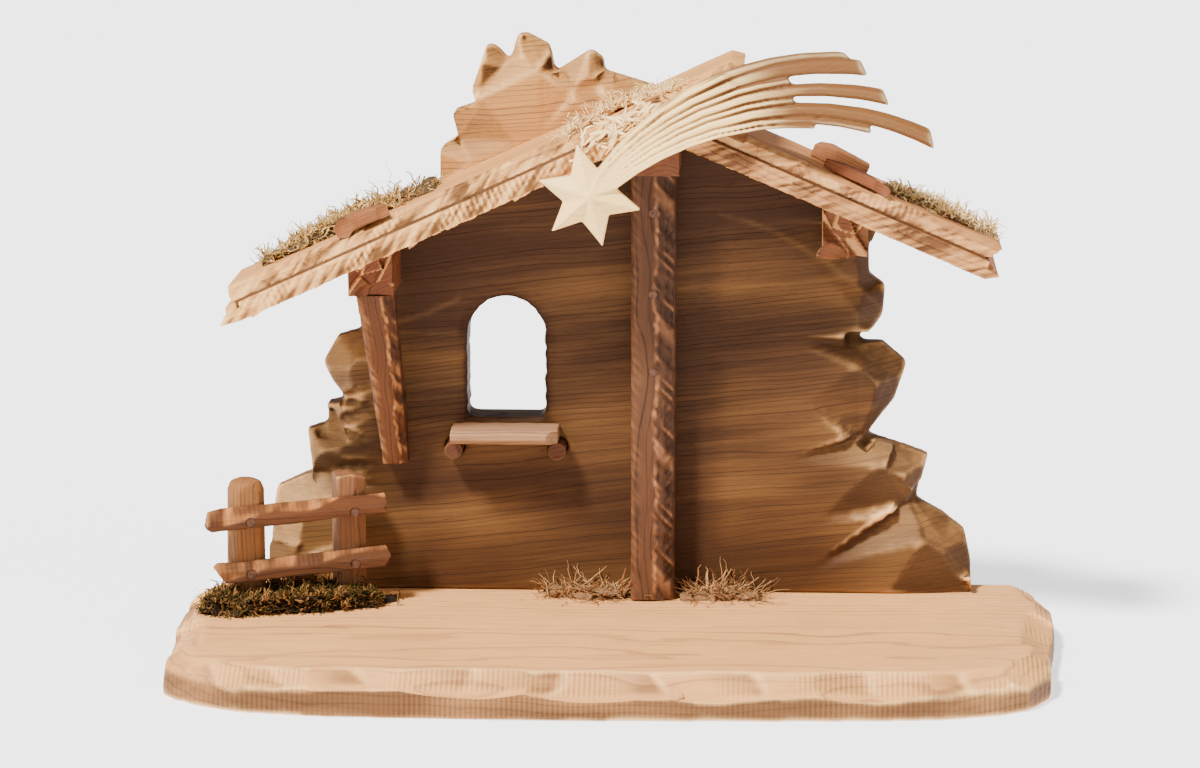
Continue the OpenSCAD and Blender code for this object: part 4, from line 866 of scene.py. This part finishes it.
def zigzag(triangles, hollow):
    def shape(piece):
        cut_facets(piece, triangles, PURLIN_FRONT)
        piece.scoop(hollow, (0, -1, -0.5), (1, 0, 0.2), 15, 8, 2.2).relax(1, 0.4).wear(0.8, 0, 0.08, 2)
        # Facets turned to the left, towards the light, get a painted highlight; facets turned to the right
        # get painted shade.
        facet_turn_from_light = piece.normals()[:, 0] * ramp(PURLIN_FRONT + 4 - piece.points[:, 1] / MM, 0, 1)
        piece.values["pale_and_highlight"] = np.clip(piece.values["pale_and_highlight"] + 0.55 * ramp(-facet_turn_from_light, 0.1, 0.6), 0, 1)
        piece.values["stain_and_shade"] = 0.5 * ramp(facet_turn_from_light, 0.1, 0.6)
    return shape


stick("ridge_purlin", DEEP, (126, 76, 46), (72, 44, 30), seed=5)
stick("left_purlin", DEEP, (116, 64, 34), (66, 38, 24), 0.42, seed=6,
      shape=zigzag(ZIGZAG_LEFT, (-82, 22.5, 128)))
stick("right_purlin", DEEP, (124, 72, 38), (70, 42, 27), 0.42, seed=7,
      shape=zigzag(ZIGZAG_RIGHT, (77, 22.5, 143)))

# %% [markdown]
# ## Shelf and fence
# The shelf lies on two pegs under the window. The fence's posts are rounded sticks,
# and its rails have an upper edge that was cut pale with a rippling knife.

# %% Shelf and fence
def golden_top(piece):
    """The rail's own slope is taken off first, so that the cut follows its upper edge."""
    x, _, z = piece.place()
    height = z - x * 0.126
    share = (height - height.min()) / np.ptp(height)
    ripple = soft_noise(piece.points, (2.4, 6, 5), 5)
    broad = soft_noise(piece.points, (14, 30, 30), 8)
    band = ramp(share, 0.56 - 0.2 * broad, 0.66 - 0.2 * broad) * ramp(-piece.normals()[:, 1], -0.2, 0.3)
    piece.points[:, 1] += band * (0.5 + 0.5 * ripple) * MM
    piece.values["pale_and_highlight"] = np.clip(piece.values["pale_and_highlight"] * 0.5 + band * (0.4 + 0.55 * ripple), 0, 1)
    piece.values["comb"] = band * 0.35


stick("window_shelf", (0, 0, 0), (158, 116, 80), (98, 68, 50), 0.5, seed=8)
stick("shelf_pegs", DEEP, (92, 54, 34), (60, 34, 22), 0.5, seed=9)
stick("fence_post_left", UPRIGHT, (146, 94, 50), (78, 50, 30), 0.5, seed=10,
      edges=((UP, (-0.7, -0.7, 0), 5, 12, 3, 0.4, (10, 30)),
             (UP, (0.5, -0.85, 0), 6, 12, 3, 0.4, (-30, 10))))
stick("fence_post_right", UPRIGHT, (132, 86, 52), (72, 46, 32), 0.5, seed=11,
      edges=((UP, (-0.7, -0.7, 0), 5, 10, 3, 0.5, (10, 40)),
             (UP, (0.7, -0.7, 0), 6, 10, 3, 0.5, (-30, 10))))
stick("fence_rail_top", (0, 0, -16), (92, 52, 26), (50, 30, 18), 0.42, seed=12, ring=1.1,
      edge=(184, 118, 62), shape=golden_top)
stick("fence_rail_bottom", (0, 0, -16), (88, 51, 26), (46, 28, 17), 0.42, seed=13, ring=1.1,
      edge=(156, 98, 52), shape=golden_top)

# %% [markdown]
# ## Ledge pieces
# Three offcuts are glued on the roof. The ends of the two in front are hollow cuts with a pale rim.

# %% Ledge pieces
def cut_ends(*cuts):
    def shape(piece):
        for place, outward in cuts:
            piece.scoop(place, outward, (0.4, 0, 1), 9, 7, 1.7)
        piece.relax(1, 0.4).wear(1.5, 0, 0.07, 2)
    return shape


stick("left_ledge_chip", (0, 24.5, 0), (146, 88, 48), (82, 48, 29), 0.4, seed=14, ring=1.0,
      shape=cut_ends(((-92, 11.2, 150.5), (-0.4, -0.9, 0.1)), ((-80, 11.2, 156), (0.3, -0.9, 0.2))))
stick("right_ledge_chip_front", (0, -23.3, 0), (122, 68, 38), (74, 42, 26), 0.4, seed=15, ring=1.0,
      shape=cut_ends(((90, 13.2, 166), (0.4, -0.9, 0)), ((77, 13.2, 171.5), (-0.2, -0.9, 0.3))))
stick("right_ledge_chip_back", (0, -23.3, 0), (156, 98, 58), (98, 60, 38), 0.4, seed=16, ring=1.0)

# %% [markdown]
# ## The comet
# A paler, finer wood than the rest. The free fingers at the tail's end were rounded
# with sandpaper, so relaxing grows with the distance from the star. A rosy wash lies
# on the fingers. Painted shade darkens the furrows and the sides that turn away from the
# front, and the ridges between furrows are paler.

# %% Comet
STAR_X, STAR_Z = -8.1, 163.9


def from_star(carving):
    """Distance and direction of every point from the star's middle."""
    x, _, z = carving.place()
    return np.hypot(x - STAR_X, z - STAR_Z), np.arctan2(z - STAR_Z, x - STAR_X)


comet_wood = wood("comet_wood", "comet_star", turn=(0, 14, 0), pith=(-40, 60), ring=1.5,
                  light=(254, 215, 140), dark=(236, 178, 106), edge=(254, 232, 176),
                  wash_and_shade=(112, 88, 76), mottle=0.25, ring_depth=0.3, rough=0.5)
comet = Carving("comet_star", 0.42).relax(1)
reach, _ = from_star(comet)
comet.relax(12, 0.7 * ramp(reach, 60, 84)[:, None]).wear(0.9, 2, 0.05)

reach, swirl = from_star(comet)
furrow = ((comet.averaged(comet.points, 7) - comet.points) * comet.normals()).sum(1) / MM
ridge = ramp(-furrow, 0.04, 0.16) * ramp(reach, 40, 90)
fan = np.stack([swirl, swirl * 0, reach * 0.004], 1) * MM
bands = soft_noise(fan, (0.055, 1, 1), 3) * ramp(reach, 16, 40)
# Faces turned away from the front get painted shade, and the furrow term below paints shade into the
# furrows.
side_shade = ramp(0.85 + comet.normals()[:, 1], 0, 0.7)
comet.values = {
    "stain_and_shade": np.clip(1.1 * ramp(reach, 46, 84) + 0.3 * bands + 0.4 * side_shade - 0.2 * ridge
                     + ramp(furrow, 0, 0.12) * (0.2 + 0.5 * ramp(reach, 14, 60)), 0, 1),
    "pale_and_highlight": np.clip(comet.values["pale_and_highlight"] * (1 - 0.5 * ramp(reach, 60, 90)) + 0.25 * ridge, 0, 1)}
comet.finish_piece(comet_wood)

# %% [markdown]
# ## Moss and straw
# One Geometry Nodes tree grows both. It scatters points on a mound, stands a short
# line on each, bends every line by its own noise and gives it a width and a material.
# The inputs set how long, wide, flat, curly and upright the strands are, so fine moss
# and flat straw come from the same tree.

# %% A tree with named inputs
class Tree:
    """A Geometry Nodes tree whose inputs have names."""
    def __init__(self, name, inputs):
        self.group = bpy.data.node_groups.new(name, "GeometryNodeTree")
        self.names = {}
        for label, kind in inputs:
            socket = self.group.interface.new_socket(label, in_out="INPUT", socket_type="NodeSocket" + kind)
            self.names[label] = socket.identifier
        self.group.interface.new_socket("Geometry", in_out="OUTPUT", socket_type="NodeSocketGeometry")
        self.entry = self.group.nodes.new("NodeGroupInput")
        self.exit = self.group.nodes.new("NodeGroupOutput")

    def given(self, label):
        return self.entry.outputs[label]

    def make(self, kind, inputs=None, **settings):
        made = self.group.nodes.new(kind)
        for key, value in settings.items():
            setattr(made, key, value)
        for key, value in (inputs or {}).items():
            if isinstance(value, bpy.types.NodeSocket):
                self.group.links.new(value, made.inputs[key])
            else:
                made.inputs[key].default_value = value
        return made

    def add(self, kind, inputs=None, output=0, **settings):
        return self.make(kind, inputs, **settings).outputs[output]

    def maths(self, operation, *values):
        return self.add("ShaderNodeMath", dict(enumerate(values)), operation=operation)

    def chance(self, low, high, step):
        """Random number per element; `step` keeps the draws apart."""
        seed = self.maths("ADD", self.given("Seed"), step)
        return self.add("FunctionNodeRandomValue", {2: low, 3: high, 8: seed}, 1, data_type="FLOAT")


print("Tree ready")

# %% [markdown]
# The first part scatters points on the upward faces and stands a line on each, leaning
# by chance. The instances are realised early, because each line bends by itself.

# %% Standing lines
def standing_lines(tree):
    rise = tree.add("ShaderNodeSeparateXYZ", {0: tree.add("GeometryNodeInputNormal")}, 2)
    upward = tree.add("FunctionNodeCompare", {0: rise, 1: 0.05}, data_type="FLOAT",
                      operation="GREATER_THAN")
    scatter = tree.make("GeometryNodeDistributePointsOnFaces", {
        "Mesh": tree.given("Geometry"), "Density": tree.given("Density"),
        "Seed": tree.given("Seed"), "Selection": upward})
    sideways = tree.add("ShaderNodeCombineXYZ", {0: tree.chance(-1, 1, 1), 1: tree.chance(-1, 1, 2),
                                                 2: tree.chance(-0.5, 0.5, 3)})
    leaning = tree.add("ShaderNodeMix", {0: tree.given("Lean"), 4: scatter.outputs["Normal"],
                                         5: sideways}, 1, data_type="VECTOR")
    turned = tree.add("FunctionNodeAlignRotationToVector", {"Vector": leaning}, axis="Z")
    twist = tree.add("FunctionNodeAxisAngleToRotation", {"Axis": UP, "Angle": tree.chance(0, 6.28, 4)})
    turned = tree.add("FunctionNodeRotateRotation", {0: turned, 1: twist}, rotation_space="LOCAL")
    spread = tree.maths("MULTIPLY", tree.given("Spread"), tree.chance(-1, 1, 5))
    length = tree.maths("MULTIPLY", tree.given("Length"), tree.maths("ADD", 1.0, spread))
    line = tree.add("GeometryNodeCurvePrimitiveLine", {"Start": (0, 0, 0), "End": UP})
    line = tree.add("GeometryNodeResampleCurve", {"Curve": line, "Count": 7})
    strands = tree.add("GeometryNodeInstanceOnPoints", {
        "Points": scatter.outputs["Points"], "Instance": line, "Rotation": turned,
        "Scale": tree.add("ShaderNodeCombineXYZ", {0: 1.0, 1: 1.0, 2: length})})
    strands = tree.add("GeometryNodeStoreNamedAttribute",
                       {"Geometry": strands, "Name": "tone", "Value": tree.chance(0, 1, 6)},
                       data_type="FLOAT", domain="INSTANCE")
    return tree.add("GeometryNodeRealizeInstances", {"Geometry": strands})


print("lines ready")

# %% [markdown]
# The second part bends the lines, more towards their tips, and wraps a flat triangular
# tube round each. Two values stay on the strands for the material: `tone`, one number
# for each strand, and `rise`, which goes from 0 at the root to 1 at the tip.

# %% Bent and skinned strands
def strand_tree():
    tree = Tree("strands", (("Geometry", "Geometry"), ("Density", "Float"), ("Length", "Float"),
                            ("Spread", "Float"), ("Width", "Float"), ("Flatness", "Float"),
                            ("Curl", "Float"), ("Lean", "Float"), ("Seed", "Int"),
                            ("Finish", "Material")))
    strands = standing_lines(tree)
    along = tree.add("GeometryNodeSplineParameter")
    tone = tree.add("GeometryNodeInputNamedAttribute", {"Name": "tone"}, data_type="FLOAT")
    bend = tree.add("ShaderNodeTexNoise", {
        "Vector": tree.add("GeometryNodeInputPosition"), "W": tree.maths("MULTIPLY", tone, 40.0),
        "Scale": 330.0, "Detail": 1.0}, 1, noise_dimensions="4D")
    bend = tree.add("ShaderNodeVectorMath", {0: bend, 1: (0.5, 0.5, 0.42)}, operation="SUBTRACT")
    pull = tree.maths("MULTIPLY", along, tree.maths("MULTIPLY", tree.given("Curl"), tree.given("Length")))
    bend = tree.add("ShaderNodeVectorMath", {0: bend, "Scale": pull}, operation="SCALE")
    strands = tree.add("GeometryNodeSetPosition", {"Geometry": strands, "Offset": bend})
    strands = tree.add("GeometryNodeStoreNamedAttribute",
                       {"Geometry": strands, "Name": "rise", "Value": along},
                       data_type="FLOAT", domain="POINT")

    tip = tree.maths("MULTIPLY", tree.maths("POWER", along, 3.0), 0.6)
    varied = tree.maths("ADD", 0.6, tree.maths("MULTIPLY", tone, 0.8))
    width = tree.maths("MULTIPLY", tree.given("Width"), varied)
    flat = tree.add("ShaderNodeCombineXYZ", {0: 1.0, 1: tree.given("Flatness"), 2: 1.0})
    ring = tree.add("GeometryNodeCurvePrimitiveCircle", {"Resolution": 3, "Radius": 0.5})
    ring = tree.add("GeometryNodeTransform", {"Geometry": ring, "Scale": flat})
    skin = tree.add("GeometryNodeCurveToMesh", {
        "Curve": strands, "Profile Curve": ring, "Fill Caps": True,
        "Scale": tree.maths("MULTIPLY", tree.maths("SUBTRACT", 1.0, tip), width)})
    skin = tree.add("GeometryNodeRealizeInstances", {"Geometry": skin})
    skin = tree.add("GeometryNodeSetMaterial", {"Geometry": skin, "Material": tree.given("Finish")})
    tree.group.links.new(skin, tree.exit.inputs[0])
    return tree


strands = strand_tree()
print(len(strands.group.nodes), "nodes in the strand tree")

# %% [markdown]
# Each bed is a lumpy mound of root colour in the place of the measured one, with
# strands on top. The measured bed is only a low block, so its rim is sunk until the
# border runs out unevenly, and strands stay above the board that carries the bed.

# %% Mounds and strands
def fibre_finish(name, slot, root, tips, rough=0.75):
    """Strand colour from its own tone, darker at the root."""
    finish = Finish(name, slot, rough, 0.06)
    tone, rise = finish.read("tone"), finish.read("rise")
    colour = finish.blend(tone.fade(0.0, 0.45), tips[0], tips[1])
    colour = finish.blend(tone.fade(0.5, 0.8), colour, tips[2])
    mottle = finish.noise(finish.millimetres(), 0.35, 2).fade(0.35, 0.7)
    colour = finish.blend(mottle, colour, tips[3])
    finish.paint(Base_Color=finish.blend(rise.fade(0.0, 0.5), root, colour))
    return finish


class Bed:
    """A mound on a board. `base` is a place on the board and `up` its outward direction."""
    def __init__(self, node, root, lumps, seed, base, up, height):
        self.node, self.base, self.up = node, np.asarray(base, float) * MM, np.asarray(up, float)
        soil = Finish(node + "_soil", node, 0.9, 0.1)
        grain = soil.noise(soil.millimetres(), 1.4, 3).fade(0.3, 0.7)
        soil.paint(Base_Color=soil.blend(grain, [c * 0.6 for c in root], root))
        mound = Carving(node, 0.8).relax(4)
        above = np.clip((mound.points - self.base) @ self.up, 0, None)
        plan = np.stack([mound.points @ np.cross((0, 1, 0), self.up), mound.points[:, 1]], 1)
        middle, half = (plan.max(0) + plan.min(0)) / 2, np.ptp(plan, 0) / 2
        rim = (np.abs((plan - middle) / half) ** 3).sum(1) ** (1 / 3) \
            + 0.32 * soft_noise(mound.points, (9, 9, 9), seed + 2)
        sunk = above * (1 - height * ramp(rim, 1.12, 0.8)) + 3 * MM * ramp(rim, 0.95, 1.15)
        mound.points -= sunk[:, None] * self.up
        mound.rough(lumps, (6, 6, 6), seed).rough(lumps * 0.4, (2.2, 2.2, 2.2), seed + 1)
        self.piece = mound.finish_piece(soil)

    def grow(self, name, finish, **inputs):
        holder = bpy.data.objects.new(name + "_holder", self.piece.data)
        bpy.context.scene.collection.objects.link(holder)
        modifier = holder.modifiers.new("strands", "NODES")
        modifier.node_group = strands.group
        for label, value in dict(inputs, Finish=finish.material).items():
            modifier[strands.names[label]] = value
        mesh = bpy.data.meshes.new_from_object(
            holder.evaluated_get(bpy.context.evaluated_depsgraph_get()))
        bpy.data.objects.remove(holder)
        mesh.materials.clear()
        points = read_points(mesh)
        sunk = np.clip(-0.8 * MM - (points - self.base) @ self.up, 0, None)
        write_points(mesh, points + sunk[:, None] * self.up)
        return show(name, mesh, finish, self.node)


print("beds ready")

# %% [markdown]
# The moss by the fence is dark and green-brown. On the roof it is dry and golden,
# paler on the right, with a few long wisps on the left.

# %% Moss
DARK_ROOT = (38, 27, 17)
moss = fibre_finish("moss_fibre", "moss_bed_fence", DARK_ROOT,
                    ((96, 64, 34), (54, 54, 16), (150, 104, 56), (70, 50, 24)))
fence_bed = Bed("moss_bed_fence", DARK_ROOT, 2.6, 2, (0, 0, BASE_TOP), UP, 0.8)
fence_bed.grow("moss_bed_strands", moss, Density=1.65e6, Length=2.7 * MM, Spread=0.8,
               Width=0.8 * MM, Flatness=0.45, Curl=4.4, Lean=0.9, Seed=4)
fence_bed.grow("moss_bed_wisps", moss, Density=2.5e4, Length=7 * MM, Spread=0.5,
               Width=0.5 * MM, Flatness=0.5, Curl=2.0, Lean=0.8, Seed=5)

roof_moss = fibre_finish("roof_moss_fibre", "moss_roof_left", (88, 66, 42),
                         ((176, 136, 84), (158, 132, 66), (224, 180, 116), (190, 146, 88)))
left_bed = Bed("moss_roof_left", (96, 74, 48), 3.0, 5, RIDGE + UP_LEFT * UPPER[1], UP_LEFT, 0.62)
left_bed.grow("moss_left_strands", roof_moss, Density=1.1e6, Length=3.4 * MM, Spread=0.7,
              Width=0.9 * MM, Flatness=0.4, Curl=4.2, Lean=0.97, Seed=6)
left_bed.grow("moss_left_wisps", roof_moss, Density=1.2e4, Length=9 * MM, Spread=0.5,
              Width=0.6 * MM, Flatness=0.5, Curl=2.2, Lean=0.75, Seed=7)

pale_moss = fibre_finish("pale_moss_fibre", "moss_roof_right", (104, 80, 54),
                         ((238, 194, 134), (222, 178, 112), (248, 218, 166), (212, 172, 104)))
right_bed = Bed("moss_roof_right", (150, 116, 78), 1.6, 8, RIDGE + UP_RIGHT * UPPER[1], UP_RIGHT, 0.6)
right_bed.grow("moss_right_strands", pale_moss, Density=1.1e6, Length=3.2 * MM, Spread=0.7,
               Width=0.9 * MM, Flatness=0.4, Curl=3.6, Lean=0.97, Seed=8)

# %% [markdown]
# Pale straw lies on the ridge. Some of it hangs over the roof's front edge: flat curled
# shavings, each a strip swept along a parabola. There are few, and each needs its own
# place on the edge, so they are written out as a mesh.

# %% Straw on the ridge
straw = fibre_finish("straw_fibre", "straw_ridge", (232, 178, 108),
                     ((248, 208, 136), (250, 224, 168), (238, 186, 112), (250, 214, 150)), 0.55)
ridge_bed = Bed("straw_ridge", (240, 190, 120), 1.4, 9, RIDGE + UP_LEFT * UPPER[1], UP_LEFT, 0.5)
ridge_bed.grow("straw_ridge_strands", straw, Density=7e5, Length=4.2 * MM, Spread=0.6,
               Width=1.0 * MM, Flatness=0.22, Curl=2.2, Lean=0.98, Seed=9)

RINGS = 9                        # cross sections of one shaving
SECTION = ((-1, -0.15), (1, -0.15), (1, 0.15), (-1, 0.15))


def shavings(count, seed):
    """Long flat strands that hang over the roof's front edge near the ridge."""
    chance = np.random.default_rng(seed)
    corners, faces, tones = [], [], []
    for _ in range(count):
        travel, height = 2 - 34 * chance.random() ** 2.6, chance.uniform(3, 12)
        facet_turn_from_light, length = chance.normal(0, 0.55), chance.uniform(3.5, 11)
        width, sag, tone = chance.uniform(0.6, 1.3), chance.normal(0, 1.1), chance.random()
        forward = ALONG_LEFT * math.cos(facet_turn_from_light) + UP_LEFT * math.sin(facet_turn_from_light)
        sideways = ALONG_LEFT * -math.sin(facet_turn_from_light) + UP_LEFT * math.cos(facet_turn_from_light)
        middle = RIDGE + ALONG_LEFT * travel + UP_LEFT * height + (0, chance.uniform(7.6, 9.4), 0)
        first = len(corners)
        for step in np.linspace(-1, 1, RINGS):
            centre = middle + forward * step * length / 2 + sideways * sag * step * step
            centre = centre + np.array([0, step * step * 0.9 * sag, 0])
            half = width / 2 * (1 - 0.5 * step * step)
            corners += [centre + sideways * half * side + (0, out, 0) for side, out in SECTION]
        last = first + 4 * (RINGS - 1)
        for ring in range(first, last, 4):
            faces += [(ring + k, ring + 4 + k, ring + 4 + (k + 1) % 4, ring + (k + 1) % 4)
                      for k in range(4)]
        faces += [(first + 3, first + 2, first + 1, first), tuple(range(last, last + 4))]
        tones += [tone] * 4 * RINGS
    mesh = bpy.data.meshes.new("shavings")
    mesh.from_pydata(np.array(corners) * MM, [], faces)
    for name, values in (("tone", tones), ("rise", [1.0] * len(tones))):
        mesh.attributes.new(name, "FLOAT", "POINT").data.foreach_set("value", values)
    fixer = bmesh.new()
    fixer.from_mesh(mesh)
    bmesh.ops.recalc_face_normals(fixer, faces=fixer.faces)
    fixer.to_mesh(mesh)
    fixer.free()
    return mesh


show("straw_ridge_shavings", shavings(64, 3), straw, "straw_ridge")

# %% [markdown]
# On the board behind the post lies darker, coarser straw with long stalks.

# %% Straw on the floor
floor_straw = fibre_finish("floor_straw_fibre", "straw_floor", (92, 62, 38),
                           ((176, 128, 84), (206, 158, 104), (132, 90, 56), (160, 112, 70)), 0.6)
floor_bed = Bed("straw_floor", (140, 100, 64), 3.0, 10, (0, 0, BASE_TOP), UP, 0.45)
floor_bed.grow("straw_floor_strands", floor_straw, Density=8.5e5, Length=9 * MM, Spread=0.6,
               Width=0.7 * MM, Flatness=0.35, Curl=0.45, Lean=0.9, Seed=10)

# %% [markdown]
# ## Nails, screws and dowels
# The measured ones stay. Screws and brads are dull steel, nails are rusty brown, so
# that they nearly vanish in the wood, and the dowels are plain birch.

# %% Fasteners
def coat(node, finish):
    """Give a measured node, which stays in the scene, its finish."""
    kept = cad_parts[node].data
    kept.materials.clear()
    kept.materials.append(finish.material)
    print(node, "keeps its solid")


def dull_metal(node, light, dark):
    finish = Finish(node + "_finish", node, 0.55, 0.5)
    wear = finish.noise(finish.millimetres(), 0.8, 3).fade(0.3, 0.7)
    finish.paint(Base_Color=finish.blend(wear, dark, light), Metallic=wear.fade(0, 1, 0.2, 0.7))
    coat(node, finish)


for node in ("base_screws", "purlin_screws", "roof_brads"):
    dull_metal(node, (150, 146, 140), (84, 80, 76))
for node in ("post_nails", "brace_nail", "fence_nails"):
    dull_metal(node, (112, 72, 46), (44, 28, 19))
coat("fence_dowels", wood("dowel_wood", "fence_dowels", turn=UPRIGHT, light=(214, 166, 112),
                          dark=(170, 120, 78)))
